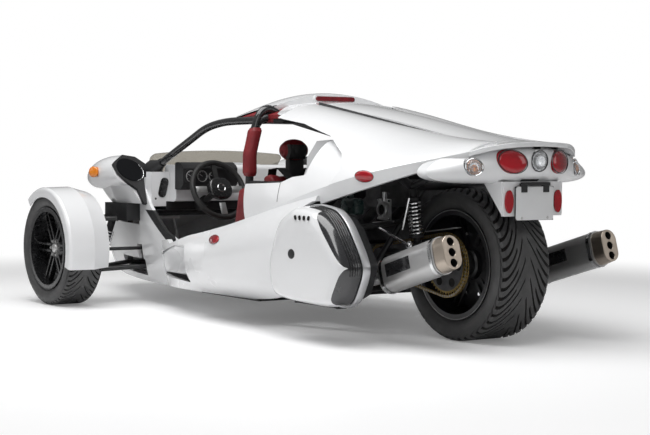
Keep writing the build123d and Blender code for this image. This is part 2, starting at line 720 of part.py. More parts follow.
WHEEL_TILT = 24.0
WHEEL_AT = (f(-560), SEAT_Y, 610.0)


def steering_wheel():
    rim_t = Torus(152, 15)
    hub = Cylinder(46, 24)
    spokes = [Rot(0, 0, a) * block(30, 146, -13, 13, -6, 6) for a in (0, 180, 270)]
    column = Pos(0, 0, -107) * Cylinder(16, 200)
    whole = fuse([rim_t, hub, column] + spokes)
    return Pos(*WHEEL_AT) * Rot(0, -90 + WHEEL_TILT, 0) * Rot(0, 0, 90) * whole


def steering_column():
    plane = Pos(*WHEEL_AT) * Rot(0, -90 + WHEEL_TILT, 0)
    return plane * (Pos(0, 0, -180) * (Cylinder(28, 80) - Cylinder(16 + RUNNING_GAP, 100)))


def pedals():
    items = []
    for y in (SEAT_Y - 85, SEAT_Y, SEAT_Y + 85):
        pad = block(f(-20), f(-8), y - 26, y + 26, 250, 320)
        stem = rod((f(-8), y, 300), (f(60), y, 440), 7)
        items.append(fuse([pad, stem]))
    bar = rod((f(60), 140, 440), (f(60), 396, 440), 10)
    return fuse(items + [bar])


def seat(floor_top):
    pan = side_cut([(0, floor_top), (0, 330), (60, 345), (420, 300), (470, 250), (470, floor_top)], -185, 185)
    back = side_cut([(0, 330), (-118, 770), (-73, 800), (-28, 790), (90, 360), (60, 345)], -182, 182)
    bolsters = [side_cut([(20, 345), (-98, 720), (-38, 740), (158, 400), (430, 380), (440, 300), (60, 330)], s * 186 - 20, s * 186 + 20)
                for s in (-1, 1)]
    head = block(-122, -24, -76, 76, 765, 882)
    head = fillet(head.edges(), 24)
    neck = block(-100, -60, -40, 40, 720, 790)
    return Pos(r(1096), SEAT_Y, 0) * fuse([pan, back, head, neck] + bolsters)


def cage_pad():
    path = [(r(1040), 513.4, 692), (r(1040), 512, 800), (r(1040), 480, 930)]
    return tube(path, 33, 70)


def amber_marker():
    return Pos(f(10), 681, 695) * Rot(90, 0, 0) * Cylinder(AMBER_R, 21.6)


def export(name, shape):
    solids = shape.solids()
    out = Compound(label=name, children=[Solid(s.wrapped) for s in solids]) if len(solids) > 1 else solids[0]
    export_step(out, os.path.join("parts", name + ".step"))


def cut(part, *tools):
    for tool in tools:
        for solid in tool.solids():
            part = part - solid
    return part


def whole_bars(part):
    return Compound(children=[s for s in part.solids() if s.volume > 3000])


def both(shape, *hosts):
    return pair(keep_big(cut(shape, *hosts)))


def main():
    os.makedirs("parts", exist_ok=True)
    cage = roll_cage()
    pods = pair(pod())
    base = case_base()
    rails = [keep_big(cut(frame_rail(side), pods, base)) for side in (1, -1)]
    frame = whole_bars(cut(chassis_frame(), pods, base, *rails))
    cage = keep_big(cut(cage, frame, *rails))
    bars = [keep_big(cut(screen_bar(side), cage, frame, *rails)) for side in (1, -1)]
    tubes = [frame, cage, *rails, *bars]
    column = steering_column()
    shell = cut(nose_body(), *tubes)
    nose, belly = keep_big(shell - belly_zone()), keep_big(shell & belly_zone())
    roof = cut(roof_panel(), cage, *bars)
    quarters = pair(keep_big(cut(quarter(), pods)))
    cover = cut(engine_cover(), cage)
    lip = spoiler()
    tail = keep_big(cut(tail_panel(), lip, quarters, cover, cage))
    motor = cut(engine(), frame, *rails)
    swing = cut(swingarm(), frame, *rails)
    nacelle = headlamp_pods()
    arms = [keep_big(cut(arm, frame, *rails)) for arm in front_arm()]
    cover_box = arm_cover(arms)
    arm_set = Compound(children=[s for arm in arms for s in (*arm.solids(), *flip(arm).solids())])
    dash = keep_big(cut(dashboard(), nose, column, *tubes))
    floor = keep_big(cut(floor_tub(), nose, belly, pods, *tubes))
    one_seat = keep_big(cut(seat(BELLY_Z + 20), nose, belly, *tubes))
    out = {
        "chassis_frame": frame,
        "frame_rail_left": rails[0],
        "frame_rail_right": rails[1],
        "roll_cage": cage,
        "screen_bar_left": bars[0],
        "screen_bar_right": bars[1],
        "steering_column": column,
        "nose_body": nose,
        "belly_pan": belly,
        "floor_tub": floor,
        "dashboard": dash,
        "gauge_cluster": gauge_cluster(),
        "pedals": cut(pedals(), frame, *rails),
        "seat_left": one_seat,
        "seat_right": flip(one_seat),
        "windscreen": keep_big(cut(windscreen(), nose)),
        "headlamp_pods": pair(nacelle),
        "clear_lamps": cut(clear_lamps(headlamps()), quarters),
        "amber_markers": pair(amber_marker()),
        "mirror_housings": both(mirror_housing(), nose, cover_box),
        "mirror_glasses": pair(mirror_glass()),
        "arm_covers": pair(cover_box),
        "front_arms": arm_set,
        "front_shocks": both(front_shock(), cover_box, arms[0]),
        "pods": pods,
        "cabin_panels": both(cabin_panel(), pods, quarters, cage),
        "cage_pads": both(cage_pad(), cage),
        "roof_panel": roof,
        "quarters": quarters,
        "engine_cover": cover,
        "spoiler": lip,
        "tail_panel": tail,
        "red_lamps": cut(red_lamps(roof, pods, quarters), lip),
        "plate_panel": keep_big(cut(plate_panel(), tail)),
        "plate_holder": plate_holder(),
        "case_base": base,
        "case_lid": case_lid(),
        "engine": motor,
        "drive_chain": drive_chain(),
        "swingarm": swing,
        "rear_shocks": both(rear_shock(), swing, cage),
        "exhausts": both(exhaust(), motor),
        "exhaust_tips": pair(exhaust_tip()),
    }
    for side_name, fn in (("left", lambda p: p), ("right", flip)):
        at = Pos(X_FRONT, Y_WHEEL, Z_FRONT)
        out["knuckle_" + side_name] = fn(at * knuckle())
        out["fender_" + side_name] = fn(at * fender())
        out["front_tyre_" + side_name] = fn(at * front_tyre())
        out["front_rim_" + side_name] = fn(at * front_rim())
        out["front_disc_" + side_name] = fn(at * front_disc())
    rear = Pos(X_REAR, 0, Z_REAR)
    out["rear_tyre"] = rear * tyre(REAR_TYRE_R, REAR_TYRE_W, REAR_BEAD_R)
    out["rear_rim"] = rear * rear_rim()
    out["rear_disc"] = rear * rear_disc()
    out["steering_wheel"] = steering_wheel()
    for name, shape in out.items():
        export(name, shape)
        print(name, len(shape.solids()))


main()
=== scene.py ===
import json
import math
import bmesh
import bpy
from mathutils import Matrix, Vector
from mathutils.bvhtree import BVHTree


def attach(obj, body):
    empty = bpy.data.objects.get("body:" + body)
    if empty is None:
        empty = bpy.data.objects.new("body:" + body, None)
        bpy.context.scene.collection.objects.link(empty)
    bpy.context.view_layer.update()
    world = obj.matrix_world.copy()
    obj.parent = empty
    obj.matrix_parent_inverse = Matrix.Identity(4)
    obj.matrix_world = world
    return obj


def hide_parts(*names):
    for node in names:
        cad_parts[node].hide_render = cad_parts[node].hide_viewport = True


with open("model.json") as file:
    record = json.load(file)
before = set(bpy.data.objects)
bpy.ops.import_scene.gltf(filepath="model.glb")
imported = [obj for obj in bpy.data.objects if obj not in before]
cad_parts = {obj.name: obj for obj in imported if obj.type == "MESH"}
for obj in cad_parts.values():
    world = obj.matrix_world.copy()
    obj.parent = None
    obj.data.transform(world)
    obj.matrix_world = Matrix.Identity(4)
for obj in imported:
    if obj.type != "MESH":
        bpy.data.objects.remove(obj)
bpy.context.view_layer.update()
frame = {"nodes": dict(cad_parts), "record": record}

scene = bpy.context.scene
scene.view_settings.view_transform = "Standard"
print("frame loaded", len(frame["nodes"]), "nodes")


# shared shader effects, each a node group built once
def makeGroup(name, inputs, outputs):
    group = bpy.data.node_groups.new(name, "ShaderNodeTree")
    for kind, label, value in inputs:
        socket = group.interface.new_socket(label, in_out="INPUT", socket_type="NodeSocket" + kind)
        socket.default_value = value
    for kind, label in outputs:
        group.interface.new_socket(label, in_out="OUTPUT", socket_type="NodeSocket" + kind)
    start = group.nodes.new("NodeGroupInput").outputs
    end = group.nodes.new("NodeGroupOutput").inputs
    coord = group.nodes.new("ShaderNodeTexCoord").outputs["Object"]
    return group, start, end, coord


def addNoise(group, vector, detail, rough, low, high):
    # noise along a vector, and a range node that stretches its middle values
    noise = group.nodes.new("ShaderNodeTexNoise")
    noise.inputs["Detail"].default_value = detail
    noise.inputs["Roughness"].default_value = rough
    ramp = group.nodes.new("ShaderNodeMapRange")
    ramp.inputs["From Min"].default_value = low
    ramp.inputs["From Max"].default_value = high
    group.links.new(vector, noise.inputs["Vector"])
    group.links.new(noise.outputs["Fac"], ramp.inputs["Value"])
    return noise, ramp


def makeMottle():
    # soft change between two colours
    group, start, end, coord = makeGroup("mottle", [("Color", "Low", (0, 0, 0, 1)), ("Color", "High", (1, 1, 1, 1)),
                                                    ("Float", "Scale", 6.0)], [("Color", "Color")])
    noise, ramp = addNoise(group, coord, 5.0, 0.6, 0.35, 0.68)
    mix = group.nodes.new("ShaderNodeMix")
    mix.data_type = "RGBA"
    link = group.links.new
    link(start["Scale"], noise.inputs["Scale"])
    link(ramp.outputs["Result"], mix.inputs["Factor"])
    link(start["Low"], mix.inputs[6])
    link(start["High"], mix.inputs[7])
    link(mix.outputs[2], end["Color"])
    return group


def makeSpread():
    # soft change between two values
    group, start, end, coord = makeGroup("spread", [("Float", "Low", 0.2), ("Float", "High", 0.4),
                                                    ("Float", "Scale", 20.0)], [("Float", "Value")])
    noise, ramp = addNoise(group, coord, 4.0, 0.5, 0.3, 0.7)
    link = group.links.new
    link(start["Scale"], noise.inputs["Scale"])
    link(start["Low"], ramp.inputs["To Min"])
    link(start["High"], ramp.inputs["To Max"])
    link(ramp.outputs["Result"], end["Value"])
    return group


def makeGrain():
    # cell grain for leather and moulded plastic, fine noise on top
    group, start, end, coord = makeGroup("grain", [("Float", "Cells", 400.0), ("Float", "Fine", 1500.0),
                                                   ("Float", "Share", 0.6)], [("Float", "Height")])
    cells = group.nodes.new("ShaderNodeTexVoronoi")
    fine = group.nodes.new("ShaderNodeTexNoise")
    mix = group.nodes.new("ShaderNodeMix")
    link = group.links.new
    link(coord, cells.inputs["Vector"])
    link(coord, fine.inputs["Vector"])
    link(start["Cells"], cells.inputs["Scale"])
    link(start["Fine"], fine.inputs["Scale"])
    link(start["Share"], mix.inputs[0])
    link(fine.outputs["Fac"], mix.inputs[2])
    link(cells.outputs["Distance"], mix.inputs[3])
    link(mix.outputs[0], end["Height"])
    return group


def makeBrush():
    # long scratches along one axis, the axis scaled down
    group, start, end, coord = makeGroup("brush", [("Vector", "Stretch", (4.0, 300.0, 300.0)), ("Float", "Low", 0.2),
                                                   ("Float", "High", 0.45)], [("Float", "Value"), ("Float", "Height")])
    scale = group.nodes.new("ShaderNodeVectorMath")
    scale.operation = "MULTIPLY"
    noise, ramp = addNoise(group, scale.outputs["Vector"], 3.0, 0.5, 0.3, 0.7)
    noise.inputs["Scale"].default_value = 1.0
    link = group.links.new
    link(coord, scale.inputs[0])
    link(start["Stretch"], scale.inputs[1])
    link(start["Low"], ramp.inputs["To Min"])
    link(start["High"], ramp.inputs["To Max"])
    link(ramp.outputs["Result"], end["Value"])
    link(noise.outputs["Fac"], end["Height"])
    return group


groups = {"mottle": makeMottle(), "spread": makeSpread(), "grain": makeGrain(), "brush": makeBrush()}


class Finish:
    # one material with its own Principled BSDF, and the shared groups plugged in
    def __init__(self, name, **sockets):
        self.mat = bpy.data.materials.new(name)
        self.mat.use_nodes = True
        self.tree = self.mat.node_tree
        self.bsdf = self.tree.nodes["Principled BSDF"]
        for label, value in sockets.items():
            self.bsdf.inputs[label.replace("_", " ")].default_value = value

    def place(self, group, **values):
        node = self.tree.nodes.new("ShaderNodeGroup")
        node.node_tree = groups[group]
        for label, value in values.items():
            node.inputs[label].default_value = value
        return node

    def colour(self, low, high, scale):
        node = self.place("mottle", Low=(*low, 1), High=(*high, 1), Scale=scale)
        self.tree.links.new(node.outputs["Color"], self.bsdf.inputs["Base Color"])
        return self

    def facing(self, middle, rim):
        # tinted glass, its base colour darker where it is seen edge on: painted shade at the lens rims
        weight = self.tree.nodes.new("ShaderNodeLayerWeight")
        weight.inputs["Blend"].default_value = 0.42
        mix = self.tree.nodes.new("ShaderNodeMix")
        mix.data_type = "RGBA"
        mix.inputs[6].default_value = (*middle, 1)
        mix.inputs[7].default_value = (*rim, 1)
        self.tree.links.new(weight.outputs["Facing"], mix.inputs["Factor"])
        self.tree.links.new(mix.outputs[2], self.bsdf.inputs["Base Color"])
        return self

    def rough(self, low, high, scale):
        node = self.place("spread", Low=low, High=high, Scale=scale)
        self.tree.links.new(node.outputs["Value"], self.bsdf.inputs["Roughness"])
        return self

    def bump(self, output, strength, distance):
        node = self.tree.nodes.new("ShaderNodeBump")
        node.inputs["Strength"].default_value = strength
        node.inputs["Distance"].default_value = distance
        self.tree.links.new(output, node.inputs["Height"])
        self.tree.links.new(node.outputs["Normal"], self.bsdf.inputs["Normal"])
        return self

    def grain(self, cells, fine, share, strength, distance):
        return self.bump(self.place("grain", Cells=cells, Fine=fine, Share=share).outputs["Height"], strength, distance)

    def brush(self, stretch, low, high, strength, distance):
        node = self.place("brush", Stretch=stretch, Low=low, High=high)
        self.tree.links.new(node.outputs["Value"], self.bsdf.inputs["Roughness"])
        return self.bump(node.outputs["Height"], strength, distance)


finishes = {
    "pearlWhite": Finish("pearlWhite", Coat_Weight=0.9, Coat_Roughness=0.03, Specular_IOR_Level=0.5)
    .colour((0.775, 0.78, 0.79), (0.80, 0.805, 0.812), 1.4).rough(0.24, 0.28, 2.0),
    "powderBlack": Finish("powderBlack", Coat_Weight=0.2, Coat_Roughness=0.2)
    .colour((0.010, 0.010, 0.011), (0.018, 0.018, 0.019), 12.0).rough(0.32, 0.45, 90.0)
    .grain(900.0, 2600.0, 0.3, 0.15, 0.0004),
    "tyreRubber": Finish("tyreRubber", Specular_IOR_Level=0.55)
    .colour((0.040, 0.040, 0.041), (0.060, 0.059, 0.059), 14.0).rough(0.36, 0.54, 30.0)
    .grain(700.0, 2200.0, 0.4, 0.3, 0.0006),
    "glossBlack": Finish("glossBlack", Coat_Weight=0.8, Coat_Roughness=0.05, Metallic=0.2)
    .colour((0.010, 0.010, 0.011), (0.016, 0.016, 0.017), 9.0).rough(0.22, 0.34, 50.0),
    "brushedSteel": Finish("brushedSteel", Metallic=0.9)
    .colour((0.56, 0.56, 0.56), (0.62, 0.615, 0.61), 5.0).brush((2.0, 160.0, 160.0), 0.36, 0.46, 0.02, 0.0003),
    "champagne": Finish("champagne", Metallic=1.0)
    .colour((0.42, 0.36, 0.30), (0.49, 0.425, 0.36), 7.0).brush((2.0, 180.0, 180.0), 0.30, 0.40, 0.03, 0.0003),
    "castAlloy": Finish("castAlloy", Metallic=0.7)
    .colour((0.06, 0.06, 0.063), (0.12, 0.12, 0.122), 16.0).rough(0.42, 0.62, 60.0)
    .grain(500.0, 1800.0, 0.4, 0.35, 0.0008),
    # black moulded plastic; also used as painted shade for the pod slots and the strip beside the engine cover
    "mouldedBlack": Finish("mouldedBlack", Specular_IOR_Level=0.4)
    .colour((0.014, 0.014, 0.015), (0.022, 0.022, 0.023), 10.0).rough(0.48, 0.62, 80.0)
    .grain(650.0, 2400.0, 0.5, 0.35, 0.0006),
    "smokedScreen": Finish("smokedScreen", Base_Color=(0.34, 0.318, 0.275, 1), Roughness=0.04,
                           Transmission_Weight=0.92, IOR=1.45),
    "clearLens": Finish("clearLens", Base_Color=(0.93, 0.94, 0.95, 1), Roughness=0.03,
                        Transmission_Weight=0.9, IOR=1.45),
    # red lens: deep red face that darkens towards its rims where seen edge on, painted shade
    "redLens": Finish("redLens", Coat_Weight=1.0, Coat_Roughness=0.015, Transmission_Weight=0.10, IOR=1.45)
    .facing((0.50, 0.003, 0.013), (0.055, 0.0006, 0.002)).rough(0.04, 0.08, 40.0)
    .grain(180.0, 700.0, 0.9, 0.12, 0.0006),
    "redDeep": Finish("redDeep", Coat_Weight=1.0, Coat_Roughness=0.02, Transmission_Weight=0.15, IOR=1.45)
    .colour((0.13, 0.003, 0.008), (0.22, 0.006, 0.012), 30.0).rough(0.05, 0.09, 40.0),
    "amberLens": Finish("amberLens", Coat_Weight=0.8, Coat_Roughness=0.02, Transmission_Weight=0.2, IOR=1.45)
    .colour((0.80, 0.22, 0.01), (0.90, 0.30, 0.02), 30.0).rough(0.10, 0.16, 40.0),
    "mirrorGlass": Finish("mirrorGlass", Metallic=1.0, Coat_Weight=0.3)
    .colour((0.040, 0.042, 0.048), (0.052, 0.054, 0.060), 4.0).rough(0.03, 0.05, 20.0),
    "redLeather": Finish("redLeather", Specular_IOR_Level=0.4)
    .colour((0.150, 0.010, 0.014), (0.215, 0.016, 0.020), 18.0).rough(0.40, 0.56, 70.0)
    .grain(420.0, 1700.0, 0.7, 0.35, 0.0009),
    "blackLeather": Finish("blackLeather", Specular_IOR_Level=0.4)
    .colour((0.012, 0.012, 0.012), (0.022, 0.021, 0.021), 18.0).rough(0.42, 0.58, 70.0)
    .grain(420.0, 1700.0, 0.7, 0.35, 0.0009),
    "chainGold": Finish("chainGold", Metallic=1.0)
    .colour((0.20, 0.14, 0.05), (0.30, 0.22, 0.09), 30.0).rough(0.36, 0.50, 90.0),
    "discSteel": Finish("discSteel", Metallic=1.0)
    .colour((0.20, 0.20, 0.20), (0.28, 0.275, 0.27), 22.0).brush((180.0, 6.0, 180.0), 0.28, 0.42, 0.04, 0.0004),
    # near black: soot inside the exhaust tips, a dark panel seam and the case vents; painted shade in the tyre grooves,
    # the chain wheel's holes and the throttle bore
    "soot": Finish("soot", Specular_IOR_Level=0.2)
    .colour((0.006, 0.006, 0.006), (0.016, 0.014, 0.013), 60.0).rough(0.70, 0.92, 90.0),
    "brightChrome": Finish("brightChrome", Metallic=1.0)
    .colour((0.74, 0.745, 0.75), (0.80, 0.805, 0.81), 8.0).rough(0.06, 0.12, 60.0),
    "plateWhite": Finish("plateWhite", Specular_IOR_Level=0.4)
    .colour((0.70, 0.705, 0.71), (0.74, 0.745, 0.75), 6.0).rough(0.34, 0.44, 30.0),
    "smokedShell": Finish("smokedShell", Coat_Weight=1.0, Coat_Roughness=0.03)
    .colour((0.016, 0.016, 0.018), (0.030, 0.030, 0.033), 6.0).rough(0.16, 0.24, 30.0),
    "millAlloy": Finish("millAlloy", Metallic=0.9)
    .colour((0.42, 0.42, 0.42), (0.53, 0.53, 0.525), 18.0).rough(0.30, 0.42, 60.0)
    .grain(600.0, 2000.0, 0.3, 0.15, 0.0004),
    "bottleGreen": Finish("bottleGreen", Specular_IOR_Level=0.5)
    .colour((0.012, 0.030, 0.028), (0.022, 0.046, 0.042), 12.0).rough(0.22, 0.34, 40.0),
    "satinSilver": Finish("satinSilver", Metallic=0.75, Coat_Weight=0.3)
    .colour((0.60, 0.605, 0.62), (0.68, 0.685, 0.70), 4.0).rough(0.30, 0.38, 20.0),
    "webbing": Finish("webbing", Specular_IOR_Level=0.3)
    .colour((0.010, 0.010, 0.010), (0.020, 0.020, 0.020), 40.0).rough(0.66, 0.82, 90.0)
    .grain(900.0, 2600.0, 0.5, 0.4, 0.0005),
}
print("finishes made", len(finishes))

nodeBody = {node: body for body, nodes in frame["record"]["behaviour"]["bodies"].items() for node in nodes}


def finishMesh(bm, name, angle=32.0):
    mesh = bpy.data.meshes.new(name)
    bm.to_mesh(mesh)
    bm.free()
    mesh.polygons.foreach_set("use_smooth", [True] * len(mesh.polygons))
    kept = mesh.attributes.get("cadNormal")
    if kept:
        normals = [row.vector.normalized() for row in kept.data]
        mesh.attributes.remove(kept)
        mesh.normals_split_custom_set(normals)
    else:
        mesh.set_sharp_from_angle(angle=math.radians(angle))
    return mesh


def putPiece(bm, name, finish, body, stands=(), angle=32.0):
    obj = bpy.data.objects.new(name, finishMesh(bm, name, angle))
    scene.collection.objects.link(obj)
    for each in ([finish] if isinstance(finish, str) else finish):
        obj.data.materials.append(finishes[each].mat)
    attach(obj, body)
    if stands:
        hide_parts(*stands)
    return obj


def nodeCopy(node, keepNormals=False):
    source = frame["nodes"][node].data
    bm = bmesh.new()
    bm.from_mesh(source)
    for face in bm.faces:
        face.material_index = 0
    if keepNormals:
        layer = bm.loops.layers.float_vector.new("cadNormal")
        corners = (loop for face in bm.faces for loop in face.loops)
        for corner, normal in zip(corners, source.corner_normals):
            corner[layer] = normal.vector
    bmesh.ops.remove_doubles(bm, verts=bm.verts, dist=0.00002)
    return bm


def wholeGeom(bm):
    return bm.verts[:] + bm.edges[:] + bm.faces[:]


def softEdge(obj, width, segments=2):
    mod = obj.modifiers.new("edge", "BEVEL")
    mod.width = width
    mod.segments = segments
    mod.limit_method = "ANGLE"
    mod.angle_limit = math.radians(40)
    mod.profile = 0.5
    mod.harden_normals = False
    return obj


# panels carried over from the solids, with smooth shading and eased edges; other nodes get a piece of their own below
panelFinish = {
    "chassis_frame": "powderBlack", "frame_rail_left": "powderBlack", "frame_rail_right": "powderBlack",
    "roll_cage": "powderBlack", "belly_pan": "pearlWhite", "steering_column": "mouldedBlack",
    "nose_body": ("pearlWhite", "mouldedBlack"), "floor_tub": "mouldedBlack",
    "dashboard": ("pearlWhite", "mouldedBlack"), "gauge_cluster": "mouldedBlack", "pedals": "brushedSteel",
    "windscreen": "smokedScreen", "headlamp_pods": "pearlWhite", "clear_lamps": "clearLens",
    "mirror_housings": "mouldedBlack", "mirror_glasses": "mirrorGlass", "arm_covers": "mouldedBlack",
    "front_arms": "powderBlack", "pods": "pearlWhite", "cabin_panels": "pearlWhite", "roof_panel": "pearlWhite",
    "quarters": "pearlWhite", "engine_cover": "pearlWhite", "spoiler": "pearlWhite", "tail_panel": "pearlWhite",
    "red_lamps": "redLens", "plate_panel": "pearlWhite", "plate_holder": "mouldedBlack", "case_base": "mouldedBlack",
    "engine": "castAlloy", "swingarm": "powderBlack", "exhausts": "brushedSteel", "exhaust_tips": "champagne",
    "rear_rim": "powderBlack", "rear_disc": "castAlloy", "steering_wheel": "blackLeather",
    "knuckle_left": "castAlloy", "knuckle_right": "castAlloy", "fender_left": "pearlWhite",
    "fender_right": "pearlWhite", "front_rim_left": "glossBlack", "front_rim_right": "glossBlack",
    "front_disc_left": "discSteel", "front_disc_right": "discSteel",
}
easedEdge = {"exhaust_tips": 0.004, "arm_covers": 0.004, "plate_holder": 0.0012, "plate_panel": 0.002,
             "dashboard": 0.004, "engine": 0.004, "knuckle_left": 0.002, "knuckle_right": 0.002, "pedals": 0.0012,
             "spoiler": 0.002}
# where the paint changes: red lining under the roof's edge, black strip beside the side opening, dark lower dash
paint = {"roofEdge": (((-0.055, 0, 0.974), (-0.298, 0, -1.0)), ((-0.263, 0, 1.036), (0.308, 0, -1.0))),
         "roofFrom": 0.25, "strip": ((0.671, 0, 0.500), (-0.61, 0, 1.0)), "stripTop": 0.502, "stripFrom": 0.34,
         "stripTo": 0.70, "stripSide": 0.40, "dashTop": 0.547, "dashHalf": 0.439, "lampHalf": 0.40, "lampFrom": -0.5}


def camelName(node):
    head, *rest = node.split("_")
    return head + "".join(word.capitalize() for word in rest)


def isBeyond(middle, plane):
    point, normal = plane
    return (middle - Vector(point)).dot(Vector(normal)) > 0


def cutAlong(bm, planes):
    for point, normal in planes:
        bmesh.ops.bisect_plane(bm, geom=wholeGeom(bm), dist=0.00001, plane_co=point, plane_no=normal)


def secondFinish(node, face):
    # faces of a node that take its second finish
    middle = face.calc_center_median()
    if node == "dashboard":
        return middle.z < paint["dashTop"] and abs(middle.y) < paint["dashHalf"]
    return (abs(middle.y) > paint["stripSide"] and middle.z < paint["stripTop"]
            and paint["stripFrom"] < middle.x < paint["stripTo"] and isBeyond(middle, paint["strip"]))


def underRoofEdge(face):
    middle = face.calc_center_median()
    return abs(middle.y) > paint["roofFrom"] and all(isBeyond(middle, plane) for plane in paint["roofEdge"])


def dressNodes():
    for node, finish in panelFinish.items():
        bm = nodeCopy(node, node not in easedEdge)
        if node == "red_lamps":  # side markers and the high lamp are laid on their panels further down
            beside = [v for v in bm.verts if abs(v.co.y) > paint["lampHalf"] or v.co.x > paint["lampFrom"]]
            bmesh.ops.delete(bm, geom=beside, context="VERTS")
        if node == "roof_panel":
            cutAlong(bm, paint["roofEdge"])
            bmesh.ops.delete(bm, geom=[face for face in bm.faces if underRoofEdge(face)], context="FACES")
        if node == "nose_body":
            cutAlong(bm, (paint["strip"], ((0, 0, paint["stripTop"]), (0, 0, 1.0))))
        if not isinstance(finish, str):
            for face in bm.faces:
                face.material_index = int(secondFinish(node, face))
        if node in easedEdge:
            bmesh.ops.dissolve_limit(bm, angle_limit=math.radians(1.0), verts=bm.verts, edges=bm.edges,
                                     delimit={"MATERIAL"})
        obj = putPiece(bm, camelName(node) + "Piece", finish, nodeBody[node], (node,))
        if node in easedEdge:
            softEdge(obj, easedEdge[node])


dressNodes()
print("nodes dressed")


# small modelling helpers, all on bmesh operators
def lathe(bm, profile, centre, axis, steps=48):
    axis = Vector(axis).normalized()
    side = axis.orthogonal().normalized()
    verts = [bm.verts.new(Vector(centre) + side * rad + axis * along) for rad, along in profile]
    edges = [bm.edges.new(pair) for pair in zip(verts, verts[1:])]
    bmesh.ops.spin(bm, geom=verts + edges, cent=centre, axis=axis, angle=2 * math.pi, steps=steps, use_merge=True)


def addBar(bm, start, end, radius, endRadius=None, segments=14):
    start, end = Vector(start), Vector(end)
    run = end - start
    place = Matrix.Translation((start + end) / 2) @ run.to_track_quat("Z", "Y").to_matrix().to_4x4()
    bmesh.ops.create_cone(bm, cap_ends=True, segments=segments, radius1=radius,
                          radius2=radius if endRadius is None else endRadius, depth=run.length, matrix=place)


def bevelEdges(bm, edges, width, segments):
    bmesh.ops.bevel(bm, geom=edges, offset=width, offset_type="OFFSET", affect="EDGES", segments=segments, profile=0.5,
                    material=-1, clamp_overlap=True)


def edgesOf(verts):
    return list({edge for vert in verts for edge in vert.link_edges})


def addBox(bm, centre, size, turn=None, round=0.0, segments=2):
    place = Matrix.Translation(centre) @ (turn or Matrix.Identity(4)) @ Matrix.Diagonal((*size, 1))
    verts = bmesh.ops.create_cube(bm, size=1.0, matrix=place)["verts"]
    if round > 0:
        bevelEdges(bm, edgesOf(verts), round, segments)


def addCoil(bm, start, end, coilRadius, wireRadius, turns, stepsPerTurn=18, segments=8):
    start, end = Vector(start), Vector(end)
    axis = (end - start).normalized()
    side = axis.orthogonal().normalized()
    facing = axis.cross(side).to_track_quat("Z", "Y").to_matrix().to_4x4()
    loop = bmesh.ops.create_circle(bm, cap_ends=False, segments=segments, radius=wireRadius,
                                   matrix=Matrix.Translation(start + side * coilRadius) @ facing)["verts"]
    steps = int(turns * stepsPerTurn)
    bmesh.ops.spin(bm, geom=loop + edgesOf(loop), cent=start, axis=axis, dvec=(end - start) / steps,
                   angle=2 * math.pi * turns, steps=steps)


def tidyNormals(bm, dist=0.00001):
    bmesh.ops.remove_doubles(bm, verts=bm.verts, dist=dist)
    bmesh.ops.recalc_face_normals(bm, faces=bm.faces)


def bothSides(bm):
    bmesh.ops.mirror(bm, geom=wholeGeom(bm), matrix=Matrix.Identity(4), merge_dist=-1.0, axis="Y")
    bmesh.ops.recalc_face_normals(bm, faces=bm.faces)
    return bm


def thicken(bm, depth):
    bmesh.ops.recalc_face_normals(bm, faces=bm.faces)
    bmesh.ops.solidify(bm, geom=bm.faces[:], thickness=depth)
    bmesh.ops.recalc_face_normals(bm, faces=bm.faces)
    return bm


def joinInto(whole, piece):
    mesh = bpy.data.meshes.new("joined")
    piece.to_mesh(mesh)
    piece.free()
    whole.from_mesh(mesh)
    bpy.data.meshes.remove(mesh)


def arcThrough(a, b, c, count):
    # points on the circle through three profile points, ends included
    (ax, ay), (bx, by), (cx, cy) = a, b, c
    d = 2 * (ax * (by - cy) + bx * (cy - ay) + cx * (ay - by))
    aa, bb, cc = ax * ax + ay * ay, bx * bx + by * by, cx * cx + cy * cy
    ux = (aa * (by - cy) + bb * (cy - ay) + cc * (ay - by)) / d
    uy = (aa * (cx - bx) + bb * (ax - cx) + cc * (bx - ax)) / d
    rad = math.hypot(ax - ux, ay - uy)
    t0 = math.atan2(ay - uy, ax - ux)
    t1 = math.atan2(cy - uy, cx - ux)
    turn = (t1 - t0 + math.pi) % (2 * math.pi) - math.pi
    turns = [t0 + turn * k / count for k in range(count + 1)]
    return [(ux + rad * math.cos(t), uy + rad * math.sin(t)) for t in turns]


# tyres with a directional groove pattern cut into the crown
tyreSpec = {
    "rear_tyre": {"centre": (-1.340, 0.0, 0.332), "radius": 0.332, "width": 0.300, "bead": 0.230, "pitches": 24,
                  "lean": 1.15, "grooveShare": 0.40, "deep": 0.0065, "columns": 16, "longFrom": 0.10, "shortFrom": 0.45,
                  "body": "rear_wheel"},
    "front_tyre_left": {"centre": (0.946, 0.876, 0.2955), "radius": 0.2955, "width": 0.205, "bead": 0.205,
                        "pitches": 30, "lean": 0.70, "grooveShare": 0.36, "deep": 0.006, "columns": 12,
                        "longFrom": 0.16, "shortFrom": 0.5, "body": "front_wheel_left"},
}
tyreSpec["front_tyre_right"] = {**tyreSpec["front_tyre_left"], "centre": (0.946, -0.876, 0.2955),
                                "body": "front_wheel_right"}
stepsPerPitch = 4  # long groove, block, short groove, block


